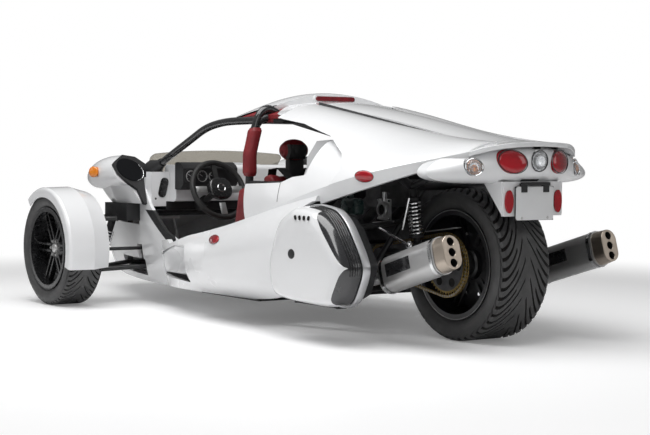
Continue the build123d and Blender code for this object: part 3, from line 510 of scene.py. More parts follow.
def makeTyre(node, spec):
    half, wall = spec["width"] / 2, spec["radius"] - spec["bead"]
    crown, shoulder, foot = 0.72 * half, 0.88 * half, 0.82 * half
    low, top = spec["bead"] + 0.012, spec["radius"] - 0.13 * wall
    sideArc = arcThrough((foot, low), (half, spec["bead"] + 0.5 * wall), (shoulder, top), 9)
    sideArc = [(y + (0.0012 if k in (3, 6) else 0.0), rad) for k, (y, rad) in enumerate(sideArc)]  # two moulded ribs
    shoulderArc = arcThrough((shoulder, top), (0.82 * half, spec["radius"] - 0.035 * wall), (crown, spec["radius"]), 3)
    flat = [(crown - 2 * crown * k / spec["columns"], spec["radius"]) for k in range(1, spec["columns"])]
    oneSide = [(foot, spec["bead"])] + sideArc + shoulderArc[1:]
    profile = oneSide + flat + [(-y, rad) for y, rad in reversed(oneSide)]
    centre = Vector(spec["centre"])
    steps = spec["pitches"] * stepsPerPitch
    bm = bmesh.new()
    lathe(bm, [(rad, y) for y, rad in profile] + [(spec["bead"], foot)], centre, (0, 1, 0), steps)
    tidyNormals(bm)
    stepTurn = 2 * math.pi / steps
    start = math.atan2(*[(bm.verts[:][0].co - centre)[k] for k in (2, 0)])
    share = spec["grooveShare"]
    shift = (0.0, 2 * share, 2.0, 2.0 + 2 * share)

    def sweepAt(y):  # turn of the grooves, from the middle to the shoulder
        return spec["lean"] * (1 - (1 - min(1.0, abs(y) / shoulder)) ** 1.7) * 0.55

    for vert in bm.verts:
        arm = vert.co - centre
        rad = math.hypot(arm.x, arm.z)
        if rad < top - 0.0005:
            continue
        index = round((math.atan2(arm.z, arm.x) - start) / stepTurn)
        part = index % stepsPerPitch
        turn = start + (index - part + shift[part]) * stepTurn + sweepAt(arm.y)
        vert.co = centre + Vector((rad * math.cos(turn), arm.y, rad * math.sin(turn)))
    bm.normal_update()
    grooves = []
    for face in bm.faces:
        mid = face.calc_center_median() - centre
        if math.hypot(mid.x, mid.z) < top + 0.002 or len(face.verts) != 4:
            continue
        reach = abs(mid.y) / shoulder
        part = ((math.atan2(mid.z, mid.x) - sweepAt(mid.y) - start) / stepTurn) % stepsPerPitch
        longOne = part < 2 * share and reach > spec["longFrom"]
        shortOne = 2.0 < part < 2.0 + 2 * share and reach > spec["shortFrom"]
        if longOne or shortOne:
            grooves.append(face)
    # groove floors take the second, near-black finish: painted shade in the grooves
    bmesh.ops.inset_region(bm, faces=grooves, thickness=0.0008, depth=-spec["deep"], use_even_offset=True)
    for face in grooves:
        face.material_index = 1
    putPiece(bm, camelName(node) + "Tread", ("tyreRubber", "soot"), spec["body"], (node,), 28.0)


for tyreNode, tyreValues in tyreSpec.items():
    makeTyre(tyreNode, tyreValues)
print("tyres cut")


def surfaceTree(*nodes):
    bm = bmesh.new()
    for node in nodes:
        bm.from_mesh(frame["nodes"][node].data)
    tree = BVHTree.FromBMesh(bm)
    bm.free()
    return tree


def drape(bm, tree, along, lift=0.0, far=2.0, reach=9.0):
    # lays every point on the surface that it meets along a direction, within a reach of where it was
    along = Vector(along).normalized()
    lost = []
    for vert in bm.verts:
        hit = tree.ray_cast(vert.co - along * far, along)[0]
        if hit is None or (hit - vert.co).length > reach:
            lost.append(vert)
        else:
            vert.co = hit - along * lift
    if lost:
        bmesh.ops.delete(bm, geom=lost, context="VERTS")


def bandOf(node, planes, grow, centre):
    # a slice of a node between pairs of planes, grown about a centre
    bm = nodeCopy(node)
    for point, normal in planes:
        bmesh.ops.bisect_plane(bm, geom=wholeGeom(bm), dist=0.00001, plane_co=point, plane_no=normal, clear_outer=True)
    bmesh.ops.scale(bm, vec=grow, space=Matrix.Translation(-Vector(centre)), verts=bm.verts)
    return bm


# front wheels: nuts, cap and a machined line on the rim's edge
frontHub = {"x": 0.946, "y": 0.876, "z": 0.2955, "face": 0.042, "nuts": 6, "nutCircle": 0.040, "nutSize": 0.0085,
            "cap": ((0.0, 0.014), (0.014, 0.0135), (0.022, 0.010), (0.026, 0.002), (0.026, -0.004), (0.0, -0.004)),
            "line": ((0.2105, 0.0), (0.2150, 0.0012), (0.2150, -0.003), (0.2105, -0.003), (0.2105, 0.0)),
            "lineAt": 0.0935}


def makeFrontHub(side, spec):
    sign = 1 if side == "left" else -1
    face = sign * (spec["y"] + spec["face"])
    bm = bmesh.new()
    for k in range(spec["nuts"]):
        turn = 2 * math.pi * k / spec["nuts"]
        x = spec["x"] + spec["nutCircle"] * math.cos(turn)
        z = spec["z"] + spec["nutCircle"] * math.sin(turn)
        addBar(bm, (x, face - sign * 0.002, z), (x, face + sign * 0.010, z), spec["nutSize"], spec["nutSize"] * 0.8, 6)
    lathe(bm, [(rad, along * sign) for rad, along in spec["cap"]], (spec["x"], face, spec["z"]), (0, 1, 0), 32)
    tidyNormals(bm)
    putPiece(bm, "frontHubNuts" + side.capitalize(), "brushedSteel", "front_wheel_" + side)
    line = bmesh.new()
    rim = sign * (spec["y"] + spec["lineAt"])
    lathe(line, [(rad, rim + along * sign) for rad, along in spec["line"]], (spec["x"], 0, spec["z"]), (0, 1, 0), 72)
    tidyNormals(line)
    putPiece(line, "frontRimLine" + side.capitalize(), "castAlloy", "front_wheel_" + side)


for wheelSide in ("left", "right"):
    makeFrontHub(wheelSide, frontHub)

# rear wheel: closed dish with bolts, a line on the rim's edge, toothed chain wheel
rearHub = {"centre": (-1.340, 0.0, 0.332), "bolts": 10, "boltRings": ((0.136, 0.0, 0.006), (0.203, 0.5, -0.006)),
           "dish": ((0.072, 0.026), (0.105, 0.010), (0.200, -0.004), (0.2155, -0.030), (0.2155, -0.034),
                    (0.198, -0.008), (0.104, 0.006), (0.072, 0.022), (0.072, 0.026)),
           "line": ((0.2350, 0.1322), (0.2392, 0.1332), (0.2392, 0.1310), (0.2350, 0.1310), (0.2350, 0.1322)),
           "chainWheel": 0.170, "holes": 6, "holeCircle": 0.083, "holeRadius": 0.019, "teeth": 44, "toothFoot": 0.1165,
           "toothTip": 0.1285,
           "toothRing": ((0.104, -0.0028), (0.119, -0.0028), (0.119, 0.0028), (0.104, 0.0028), (0.104, -0.0028))}


def makeRearHub(spec):
    centre, across = Vector(spec["centre"]), Vector((0, 1, 0))

    def onCircle(radius, share, y=0.0):
        turn = 2 * math.pi * share
        return centre + Vector((radius * math.cos(turn), y, radius * math.sin(turn)))

    dish, line, holes, bolts, teeth = (bmesh.new() for _ in range(5))
    lathe(dish, spec["dish"], centre, across, 72)
    for sign in (1, -1):
        lathe(line, [(rad, along * sign) for rad, along in spec["line"]], centre, across, 96)
    # dark discs in the chain wheel's holes, painted shade standing in for the openings
    for k in range(spec["holes"]):
        at = onCircle(spec["holeCircle"], k / spec["holes"], spec["chainWheel"])
        addBar(holes, at - across * 0.0046, at + across * 0.0046, spec["holeRadius"], None, 24)
    for circle, offset, level in spec["boltRings"]:
        for k in range(spec["bolts"]):
            at = onCircle(circle, (k + offset) / spec["bolts"], level)
            addBar(bolts, at, at + across * 0.014, 0.0088, 0.0075, 6)
    lathe(teeth, [(rad, spec["chainWheel"] + along) for rad, along in spec["toothRing"]], centre, across, 88)
    for k in range(spec["teeth"]):
        foot, tip = (onCircle(spec[end], k / spec["teeth"], spec["chainWheel"]) for end in ("toothFoot", "toothTip"))
        addBar(teeth, foot, tip, 0.0052, 0.0026, 6)
    for bm in (dish, line, bolts, teeth):
        tidyNormals(bm)
    putPiece(dish, "rearRimDish", "powderBlack", "rear_wheel")
    putPiece(line, "rearRimLine", "millAlloy", "rear_wheel")
    putPiece(holes, "chainWheelHoleShade", "soot", "rear_wheel")
    putPiece(bolts, "rearRimBolts", "brightChrome", "rear_wheel")
    putPiece(teeth, "chainWheelTeeth", "chainGold", "rear_wheel")


makeRearHub(rearHub)
# the chain's links on a loop around both chain wheels
chainRun = {"rear": (-1.340, 0.332), "front": (-0.870, 0.332), "rearRadius": 0.135, "frontRadius": 0.058, "y": 0.170,
            "pitch": 0.01588, "overlap": 1.62, "plate": (0.0018, 0.0125), "plateAt": (0.0046, 0.0068),
            "plateRound": 0.0048, "pin": 0.0047, "pinHalf": 0.0078}


def makeChain(spec):
    (xr, zr), (xf, zf) = spec["rear"], spec["front"]
    big, small = spec["rearRadius"], spec["frontRadius"]
    gap = xf - xr
    tilt = math.asin((big - small) / gap)
    top = math.pi / 2 - tilt
    run = gap * math.cos(tilt)
    wrapRear, wrapFront = big * (math.pi + 2 * tilt), small * (math.pi - 2 * tilt)
    total = 2 * run + wrapRear + wrapFront
    count = int(total / spec["pitch"]) // 2 * 2

    def spot(x, z, rad, turn):
        return Vector((x + rad * math.cos(turn), 0, z + rad * math.sin(turn)))

    def onLoop(s):
        s %= total
        if s < run:  # upper run towards the front
            return spot(xr, zr, big, top).lerp(spot(xf, zf, small, top), s / run)
        s -= run
        if s < wrapFront:
            return spot(xf, zf, small, top - s / small)
        s -= wrapFront
        if s < run:  # lower run back
            return spot(xf, zf, small, -top).lerp(spot(xr, zr, big, -top), s / run)
        return spot(xr, zr, big, -top - (s - run) / big)

    plates, rollers = bmesh.new(), bmesh.new()
    across = Vector((0, 1, 0))
    size = (spec["pitch"] * spec["overlap"], *spec["plate"])
    for k in range(count):
        a, b = onLoop(total * k / count), onLoop(total * (k + 1) / count)
        ahead = (b - a).normalized()
        turn = Matrix((ahead, across, ahead.cross(across))).transposed().to_4x4()
        for side in (-1, 1):
            y = spec["y"] + side * spec["plateAt"][k % 2]
            addBox(plates, (a + b) / 2 + across * y, size, turn, spec["plateRound"], 1)
        ends = (a + across * (spec["y"] + side * spec["pinHalf"]) for side in (-1, 1))
        addBar(rollers, *ends, spec["pin"], None, 8)
    putPiece(plates, "driveChainPlates", "chainGold", "chassis", ("drive_chain",))
    putPiece(rollers, "driveChainRollers", "discSteel", "chassis", ("drive_chain",))


makeChain(chainRun)
print("wheels and chain detailed")

# springs and dampers, front and rear
shockSpec = {
    "rear_shocks": {"low": (-1.222, 0.238, 0.426), "high": (-1.194, 0.244, 0.656), "body": 0.022, "rod": 0.012,
                    "coil": 0.0295, "wire": 0.0048, "turns": 8.5, "coilFrom": 0.034, "coilTo": 0.172},
    "front_shocks": {"low": (0.946, 0.668, 0.1985), "high": (0.946, 0.566, 0.490), "body": 0.020, "rod": 0.011,
                     "coil": 0.0285, "wire": 0.0046, "turns": 9.0, "coilFrom": 0.044, "coilTo": 0.196},
}


def makeShock(node, spec):
    low, high = Vector(spec["low"]), Vector(spec["high"])
    axis = (high - low).normalized()
    length = (high - low).length
    rod, body = spec["rod"], spec["body"]
    foot = [(0.0, 0.0), (0.015, 0.0), (0.015, 0.018), (0.033, 0.020), (0.034, 0.030), (rod, 0.033), (rod, 0.11),
            (body, 0.112)]
    # head of the damper, measured down from the upper end
    head = [(body, 0.055), (0.032, 0.053), (0.033, 0.040), (0.017, 0.036), (0.017, 0.0), (0.0, 0.0)]
    coils, dampers = bmesh.new(), bmesh.new()
    addCoil(coils, low + axis * spec["coilFrom"], low + axis * spec["coilTo"], spec["coil"], spec["wire"],
            spec["turns"])
    lathe(dampers, foot + [(rad, length - below) for rad, below in head], low, axis, 28)
    for bm in (coils, dampers):
        tidyNormals(bm)
        bothSides(bm)
    putPiece(coils, camelName(node) + "Coils", "brightChrome", "chassis", (node,), 40.0)
    putPiece(dampers, camelName(node) + "Dampers", "mouldedBlack", "chassis", (node,))


for shockNode, shockValues in shockSpec.items():
    makeShock(shockNode, shockValues)
print("springs wound")

# silencers: bands, dark side panels, open tips
silencer = {"start": (-1.280, 0.440, 0.292), "end": (-1.710, 0.449, 0.421), "half": 0.052,
            "bands": ((0.012, 0.030), (0.356, 0.374)), "bandGrow": (1.0, 1.05, 1.035),
            "panel": (0.170, 0.005, 0.056), "panelAt": 0.14, "panelUp": 0.012, "panelRound": 0.014,
            "tipTo": 0.446, "holes": (-0.044, 0.0, 0.044), "holeRadius": 0.017, "liner": 0.0008, "linerDeep": 0.046}


def makeSilencers(spec):
    start, end = Vector(spec["start"]), Vector(spec["end"])
    axis = (end - start).normalized()
    side = Vector((0, 1, 0))
    side = (side - axis * side.dot(axis)).normalized()
    up = axis.cross(side)
    up = up if up.z > 0 else -up
    turn = Matrix((axis, side, up)).transposed().to_4x4()
    panels, bands, liners = (bmesh.new() for _ in range(3))
    for sign in (-1, 1):
        at = start + axis * spec["panelAt"] + side * sign * (spec["half"] - 0.001) + up * spec["panelUp"]
        addBox(panels, at, spec["panel"], turn, spec["panelRound"], 3)
    putPiece(bothSides(panels), "silencerPanels", "glossBlack", "chassis")
    for near, far in spec["bands"]:
        middle = start + axis * (near + far) / 2
        for sign in (1, -1):
            flip = Matrix.Diagonal((1, sign, 1))
            planes = [(flip @ (start + axis * near), flip @ -axis), (flip @ (start + axis * far), flip @ axis),
                      (Vector((0, 0, 0)), Vector((0, -sign, 0)))]
            joinInto(bands, bandOf("exhausts", planes, spec["bandGrow"], flip @ middle))
    putPiece(bands, "silencerBands", "brightChrome", "chassis")
    inner = spec["holeRadius"] - 0.0012
    outer, deep = inner + spec["liner"], spec["linerDeep"]
    profile = [(outer, 0.0), (inner, 0.0), (inner, -deep), (0.0, -deep), (0.0, -deep - 0.0012), (outer, -deep - 0.0012),
               (outer, 0.0)]
    for off in spec["holes"]:
        lathe(liners, profile, start + axis * (spec["tipTo"] - 0.0015) + up * off, axis, 28)
    tidyNormals(liners)
    putPiece(bothSides(liners), "tipLiners", "soot", "chassis")


makeSilencers(silencer)
print("silencers dressed")


# strips laid between two edge lines, on a surface or free
def stripBetween(edgeA, edgeB, rows=6, perStep=8):
    spans = len(edgeA) - 1
    bm = bmesh.new()
    bmesh.ops.create_grid(bm, x_segments=spans * perStep, y_segments=rows, size=0.5)
    for vert in bm.verts:
        t, w = (vert.co.x + 0.5) * spans, vert.co.y + 0.5
        k = min(int(t), spans - 1)
        near = Vector(edgeA[k]).lerp(Vector(edgeA[k + 1]), t - k)
        far = Vector(edgeB[k]).lerp(Vector(edgeB[k + 1]), t - k)
        vert.co = near.lerp(far, w)
    return bm


def faceTurn(normal, across=(0, 0, 1)):
    # local Z along the normal, local Y as near as can be to the second direction
    out = Vector(normal).normalized()
    up = Vector(across)
    up = (up - out * up.dot(out)).normalized()
    return Matrix((up.cross(out), up, out)).transposed().to_4x4()


def spotOn(tree, point, along):
    along = Vector(along).normalized()
    hit, normal = tree.ray_cast(Vector(point) - along * 2.0, along)[:2]
    return hit, (normal if normal.dot(along) < 0 else -normal)


def addDome(bm, centre, turn, size, rings=10, segments=28):
    place = Matrix.Translation(centre) @ turn @ Matrix.Diagonal((*size, 1))
    return bmesh.ops.create_uvsphere(bm, u_segments=segments, v_segments=rings, radius=1.0, matrix=place)["verts"]


def addRing(bm, centre, turn, halfWide, halfTall, tube, steps=40, segments=8):
    # elliptic ring of round wire in the local XY plane
    upright = Matrix.Translation((halfWide, 0, 0)) @ Matrix.Rotation(math.pi / 2, 4, "X")
    loop = bmesh.ops.create_circle(bm, cap_ends=False, segments=segments, radius=tube, matrix=upright)["verts"]
    before = set(bm.verts) - set(loop)
    bmesh.ops.spin(bm, geom=loop + edgesOf(loop), cent=(0, 0, 0), axis=(0, 0, 1), angle=2 * math.pi, steps=steps,
                   use_merge=True)
    place = Matrix.Translation(centre) @ turn @ Matrix.Diagonal((1, halfTall / halfWide, 1, 1))
    bmesh.ops.transform(bm, matrix=place, verts=[vert for vert in bm.verts if vert not in before])


def addSlab(bm, centre, size, turn, radius=0.01, segments=4):
    # plate with rounded corners, thin along its local Z
    place = Matrix.Translation(centre) @ turn @ Matrix.Diagonal((*size, 1))
    verts = bmesh.ops.create_cube(bm, size=1.0, matrix=place)["verts"]
    out = turn.to_3x3() @ Vector((0, 0, 1))
    upright = [edge for edge in edgesOf(verts)
               if abs((edge.verts[0].co - edge.verts[1].co).normalized().dot(out)) > 0.99]
    bevelEdges(bm, upright, radius, segments)


# number plate, left blank, with its screws, the bar above it and the slot of its lamp
plate = {"x": -1.7052, "half": 0.106, "low": 0.5395, "high": 0.679, "thick": 0.0016, "screwY": 0.073, "screwZ": 0.548,
         "screw": (0.0065, 0.0065, 0.003), "barZ": 0.6905, "barOut": 0.0035, "bar": (0.010, 0.164, 0.015),
         "slotFrom": -0.029, "slotTo": 0.067, "slotLow": 0.7005, "slotHigh": 0.7095}
rearward = faceTurn((-1, 0, 0))


def makePlate(spec):
    face, screws, bar = (bmesh.new() for _ in range(3))
    addSlab(face, (spec["x"], 0, (spec["low"] + spec["high"]) / 2),
            (2 * spec["half"], spec["high"] - spec["low"], spec["thick"]), rearward, 0.010)
    putPiece(face, "numberPlate", "plateWhite", "chassis")
    for y in (-spec["screwY"], spec["screwY"]):
        addDome(screws, (spec["x"] - 0.0004, y, spec["screwZ"]), rearward, spec["screw"], 8, 18)
    putPiece(screws, "plateScrews", "brushedSteel", "chassis")
    addBox(bar, (spec["x"] - spec["barOut"], 0, spec["barZ"]), spec["bar"], None, 0.003)
    putPiece(bar, "plateBar", "mouldedBlack", "chassis")
    low, high = ([(-1.7, spec[end], spec[level]) for end in ("slotFrom", "slotTo")]
                 for level in ("slotLow", "slotHigh"))
    slot = stripBetween(low, high, 2, 10)
    drape(slot, surfaceTree("tail_panel", "plate_panel"), (1, 0, 0), 0.0012)
    putPiece(thicken(slot, 0.002), "plateLampSlot", "mouldedBlack", "chassis")


makePlate(plate)

# tail lamps, turn lamps and markers: domed lenses, rims and bowls
tailLamps = {"red": {"y": 0.134, "z": 0.783, "tall": 0.050, "wide": 0.068, "slant": 10.0},
             "turn": {"y": 0.291, "z": 0.760, "tall": 0.037, "wide": 0.037, "slant": 0.0},
             "back": {"y": 0.0, "z": 0.786, "tall": 0.045, "wide": 0.047, "slant": 0.0}}
markers = {"pods": {"place": (-0.253, 0.66, 0.399), "size": (0.054, 0.0235, 0.010)},
           "quarters": {"place": (-1.228, 0.54, 0.714), "size": (0.046, 0.026, 0.011)}}
amberMarker = {"place": (0.934, 0.7035, 0.695), "faces": (-0.50, 0.86, 0.03), "radius": 0.0290}
highLamp = {"shell": (-0.2725, 0, 1.0670), "shellSize": (0.256, 0.044), "lens": (-0.2755, 0, 1.0725),
            "lensSize": (0.236, 0.024)}


def makeLamps(lamps, marks, marker, high):
    tree = surfaceTree("red_lamps", "clear_lamps")
    redDome, clearDome, rim, chromeRim, bowls, bulbs = (bmesh.new() for _ in range(6))
    for kind, spec in lamps.items():
        for sign in ((1, -1) if spec["y"] else (1,)):
            hit, normal = spotOn(tree, (-1.7, sign * spec["y"], spec["z"]), (1, 0, 0))
            turn = faceTurn(normal) @ Matrix.Rotation(math.radians(-sign * spec["slant"]), 4, "Z")
            wide, tall = spec["wide"], spec["tall"]
            addDome(redDome if kind == "red" else clearDome, hit - normal * 0.004, turn,
                    (wide - 0.003, tall - 0.003, 0.013), 16, 40)
            if kind == "turn":
                addRing(chromeRim, hit, turn, wide - 0.001, tall - 0.001, 0.0022)
            else:
                addRing(rim, hit, turn, wide - 0.001, tall - 0.001, 0.0020)
            if kind != "red":
                dish = addDome(bowls, hit - normal * 0.0045, turn, (wide - 0.006, tall - 0.006, 0.011), 16, 32)
                bmesh.ops.delete(bowls, geom=[v for v in dish if (v.co - hit).dot(normal) > -0.004], context="VERTS")
            if kind == "turn":
                addDome(bulbs, hit - normal * 0.009 - Vector((0, 0, 0.004)), turn, (0.014, 0.014, 0.010), 8, 18)
    for node, spec in marks.items():
        x, y, z = spec["place"]
        panel = surfaceTree(node)
        for sign in (1, -1):
            hit, normal = spotOn(panel, (x, sign * y, z), (0, -sign, 0))
            addDome(redDome, hit, faceTurn(normal), spec["size"], 14, 36)
            addRing(rim, hit, faceTurn(normal), spec["size"][0], spec["size"][1], 0.0012)
    putPiece(redDome, "redLampDomes", "redLens", "chassis")
    putPiece(clearDome, "clearLampDomes", "clearLens", "chassis")
    putPiece(rim, "lampRims", "glossBlack", "chassis")
    putPiece(chromeRim, "turnLampRims", "brightChrome", "chassis")
    putPiece(thicken(bowls, 0.0006), "lampBowls", "brightChrome", "chassis")
    putPiece(bulbs, "turnBulbs", "amberLens", "chassis")
    amber = bmesh.new()
    out = Vector(marker["faces"]).normalized()
    at = Vector(marker["place"])
    addBar(amber, at - out * 0.020, at, marker["radius"], None, 36)
    addDome(amber, at, faceTurn(out), (marker["radius"] * 0.96, marker["radius"] * 0.96, 0.007), 12, 36)
    putPiece(bothSides(amber), "amberDomes", "amberLens", "chassis", ("amber_markers",))
    shell, lens = bmesh.new(), bmesh.new()
    addSlab(shell, high["shell"], (*high["shellSize"], 0.010), rearward, 0.018)
    addSlab(lens, high["lens"], (*high["lensSize"], 0.012), rearward, 0.0115, 6)
    putPiece(shell, "highLampShell", "pearlWhite", "chassis")
    softEdge(putPiece(lens, "highLampLens", "redDeep", "chassis"), 0.003)


makeLamps(tailLamps, markers, amberMarker, highLamp)
print("plate and lamps made")

# luggage case: lid in two colours, bright band, ribbed rear wall, vents and lock
case = {"middle": (-1.0793, 0.632, 0.3759), "wall": 0.003, "band": (0.592, 0.6310), "bandOut": (0.0044, 0.00684),
        "outline": ((-0.820, 0.172), (-0.784, 0.330), (-0.860, 0.520), (-0.988, 0.590), (-1.162, 0.570),
                    (-1.240, 0.512), (-1.366, 0.336), (-1.296, 0.194), (-1.228, 0.160)),
        "rows": ((0.6325, 0.000), (0.640, 0.000), (0.668, 0.001), (0.698, 0.004), (0.720, 0.010), (0.734, 0.019),
                 (0.744, 0.034), (0.7485, 0.056), (0.7505, 0.090)),
        "arrow": ((-1.164, 0.543), (-1.345, 0.338), (-1.274, 0.209)), "topBlack": (-1.045, 0.664, 0.45),
        "ribs": (0.642, 0.654, 0.666, 0.678, 0.690), "ribFrom": (-1.05, 0.30), "ribRadius": 0.0026,
        "vents": 4, "ventFrom": (-1.030, 0.536), "ventStep": -0.031, "ventSize": (0.013, 0.020, 0.0040),
        "lock": (-1.003, 0.379), "lockSize": (0.025, 0.020, 0.006)}


def smoothLoop(points, shares=(0.17, 0.25, 0.25, 0.25)):
    # corner cutting on a closed outline
    for share in shares:
        pairs = zip(points, points[1:] + points[:1])
        points = [p for a, b in pairs for p in (a.lerp(b, share), a.lerp(b, 1 - share))]
    return points


def addLoft(bm, loops, capLast=False):
    before = None
    for loop in loops:
        verts = [bm.verts.new(p) for p in loop]
        edges = [bm.edges.new(pair) for pair in zip(verts, verts[1:] + verts[:1])]
        if before:
            bmesh.ops.bridge_loops(bm, edges=before + edges)
        before = edges
    if capLast:
        middle = sum((v.co for v in verts), Vector()) / len(verts)
        for rank in (0.7, 0.4, 0.15):  # rings towards the middle, slightly domed
            dome = Vector((0, 0.0016 * (1 - rank), 0))
            inner = [bm.verts.new(middle.lerp(Vector(p), rank) + dome) for p in loops[-1]]
            ring = [bm.edges.new(pair) for pair in zip(inner, inner[1:] + inner[:1])]
            bmesh.ops.bridge_loops(bm, edges=before + ring)
            before = ring
        bmesh.ops.holes_fill(bm, edges=before)


def drawnIn(outline, middle, inset, y):
    loop = []
    for x, z in outline:
        arm = Vector((x - middle[0], z - middle[2]))
        arm *= 1 - inset / arm.length
        loop.append(Vector((middle[0] + arm.x, y, middle[2] + arm.y)))
    return loop


def makeCase(spec):
    outline = smoothLoop([Vector(p) for p in spec["outline"]])
    middle = spec["middle"]
    lid, band, ribs, vents, lock = (bmesh.new() for _ in range(5))
    addLoft(lid, [drawnIn(outline, middle, inset, y) for y, inset in spec["rows"]], True)
    tidyNormals(lid)
    top, tip, low = (Vector((x, 0, z)) for x, z in spec["arrow"])
    blackX, blackY, blackZ = spec["topBlack"]
    planes = []
    for start, end in ((top, tip), (tip, low)):
        run = (end - start).normalized()
        out = Vector((run.z, 0, -run.x))
        planes.append((start, out if out.dot(start - Vector((middle[0], 0, middle[2]))) > 0 else -out))
    cutAlong(lid, planes + [(Vector((0, blackY, 0)), Vector((0, 1, 0)))])
    for face in lid.faces:
        at = face.calc_center_median()
        beyond = any(isBeyond(Vector((at.x, 0, at.z)), plane) for plane in planes)
        edge = at.y < blackY and at.x < blackX and at.z > blackZ
        face.material_index = int(beyond or edge)
    shell = putPiece(lid, "caseLid", ("pearlWhite", "smokedShell"), "lid_body", ("case_lid",), 40.0)
    wall = shell.modifiers.new("wall", "SOLIDIFY")
    wall.thickness = spec["wall"]
    wall.offset = -1.0
    near, far = spec["band"]
    edgeOut, faceOut = spec["bandOut"]
    levels = ((near, edgeOut), (near + 0.008, faceOut), (far - 0.008, faceOut), (far, edgeOut))
    addLoft(band, [drawnIn(outline, middle, -out, y) for y, out in levels])
    putPiece(thicken(band, 0.004), "caseBand", "satinSilver", "chassis", (), 50.0)
    for y in spec["ribs"]:
        loop = [p for p in drawnIn(outline, middle, 0.001, y) if p.x < spec["ribFrom"][0] and p.z > spec["ribFrom"][1]]
        for a, b in zip(loop, loop[1:]):
            if (a - b).length < 0.05:
                addBar(ribs, a, b, spec["ribRadius"], None, 8)
    putPiece(ribs, "caseRibs", "glossBlack", "lid_body")
    tree = surfaceTree("case_lid")
    for k in range(spec["vents"]):
        x, z = spec["ventFrom"]
        hit, normal = spotOn(tree, (x + k * spec["ventStep"], 0.70, z), (0, -1, 0))
        addSlab(vents, hit + normal * 0.0010, spec["ventSize"], faceTurn(normal, (0.35, 0, 1)), 0.0055)
    putPiece(vents, "caseVents", "soot", "lid_body")
    hit, normal = spotOn(tree, (spec["lock"][0], 0.75, spec["lock"][1]), (0, -1, 0))
    addDome(lock, hit, faceTurn(normal), spec["lockSize"], 12, 32)
    addRing(lock, hit + normal * 0.001, faceTurn(normal), 0.024, 0.020, 0.0016)
    putPiece(lock, "caseLock", "mouldedBlack", "lid_body")


makeCase(case)
print("luggage case dressed")

# mirrors: bright edge arc; boots at the foot of the screen bars
mirrorArc = {"origin": (0.754, 0.566, 0.694), "lean": 28.0, "centre": (-0.024, 0.006), "half": (0.0776, 0.0582),
             "turn": -30.0, "out": 0.0245, "arcFrom": -75.0, "arcTo": 35.0, "steps": 32, "wire": 0.0014}
barBoot = {"place": (0.727, 0.462, 0.708), "along": (-0.93, 0.0, 0.37),
           "profile": ((0.0, 0.0), (0.050, 0.0), (0.050, 0.018), (0.038, 0.045), (0.027, 0.080), (0.023, 0.112),
                       (0.0, 0.112))}


def makeMirrors(spec):
    lean, tilt = math.radians(spec["lean"]), math.radians(spec["turn"])
    out = Vector((-math.cos(lean), 0, math.sin(lean)))
    right, up = Vector((0, -1, 0)), Vector((math.sin(lean), 0, math.cos(lean)))
    middle = Vector(spec["origin"]) + right * spec["centre"][0] + up * spec["centre"][1] + out * spec["out"]
    arc = bmesh.new()
    points = []
    for k in range(spec["steps"] + 1):
        turn = math.radians(spec["arcFrom"] + (spec["arcTo"] - spec["arcFrom"]) * k / spec["steps"]) - tilt
        a, b = spec["half"][0] * math.cos(turn), spec["half"][1] * math.sin(turn)
        points.append(middle + right * (a * math.cos(tilt) - b * math.sin(tilt))
                      + up * (a * math.sin(tilt) + b * math.cos(tilt)))
    for a, b in zip(points, points[1:]):
        addBar(arc, a, b, spec["wire"], None, 8)
    putPiece(bothSides(arc), "mirrorArcs", "brightChrome", "chassis")


def makeBoots(spec):
    boots = bmesh.new()
    lathe(boots, spec["profile"], spec["place"], spec["along"], 32)
    tidyNormals(boots)
    putPiece(bothSides(boots), "barBoots", "mouldedBlack", "chassis")


makeMirrors(mirrorArc)
makeBoots(barBoot)

# dark strips: a black strip beside the engine cover, painted shade for the dark gap there; a panel seam
darkStrips = {
    "panelSeam": {"a": ((-0.6985, 0.58, 0.674), (-0.699, 0.58, 0.590)),
                  "b": ((-0.7010, 0.58, 0.674), (-0.7015, 0.58, 0.590)),
                  "onto": ("cabin_panels",), "finish": "soot", "rightDrop": 0.0},
    # black strip as painted shade for the dark gap between the quarter's ridge and the engine cover
    "coverSeal": {"a": ((-0.450, 0.224, 1.036), (-0.780, 0.182, 0.977), (-1.100, 0.164, 0.923), (-1.290, 0.158, 0.893)),
                  "b": ((-0.450, 0.218, 1.050), (-0.780, 0.178, 0.986), (-1.100, 0.161, 0.927),
                        (-1.290, 0.156, 0.8935)),
                  "onto": (), "finish": "mouldedBlack", "rightDrop": 0.019},
}


def makeDarkStrips(specs):
    for name, spec in specs.items():
        strip = stripBetween(spec["a"], spec["b"], 6, 10)
        if spec["onto"]:
            drape(strip, surfaceTree(*spec["onto"]), (0, -1, 0), 0.0008, 2.0, 0.14)
        both = bothSides(thicken(strip, 0.0014))
        right = [vert for vert in both.verts if vert.co.y < 0]
        bmesh.ops.translate(both, verts=right, vec=(0, 0, -spec["rightDrop"]))
        putPiece(both, name, spec["finish"], "chassis")


makeDarkStrips(darkStrips)

# scoop at the front of each side pod: a trough that deepens rearwards, and under it a black sheet, painted shade for
# the dark slot
scoop = {"front": 0.462, "rear": 0.043, "top": ((0.462, 0.280), (0.340, 0.312), (0.218, 0.338), (0.043, 0.350)),
         "low": ((0.462, 0.192), (0.043, 0.213)), "floor": ((0.462, 0.184), (0.043, 0.171)),
         "deep": 0.104, "edge": 0.003}
podRows = ((0.466, ((0.352, 0.553), (0.250, 0.545), (0.130, 0.512))),
           (0.066, ((0.400, 0.630), (0.290, 0.664), (0.126, 0.586))))


def alongLine(points, x):
    for (xa, za), (xb, zb) in zip(points, points[1:]):
        if x >= xb - 1e-9:
            return za + (zb - za) * (x - xa) / (xb - xa)
    return points[-1][1]


def podSide(x, z):
    # side of the pod between its first two sections
    def across(row):
        return sum(y * math.prod((z - w) / (v - w) for w, _ in row if w != v) for v, y in row)
    (xa, rowA), (xb, rowB) = podRows
    return across(rowA) + (across(rowB) - across(rowA)) * (x - xa) / (xb - xa)


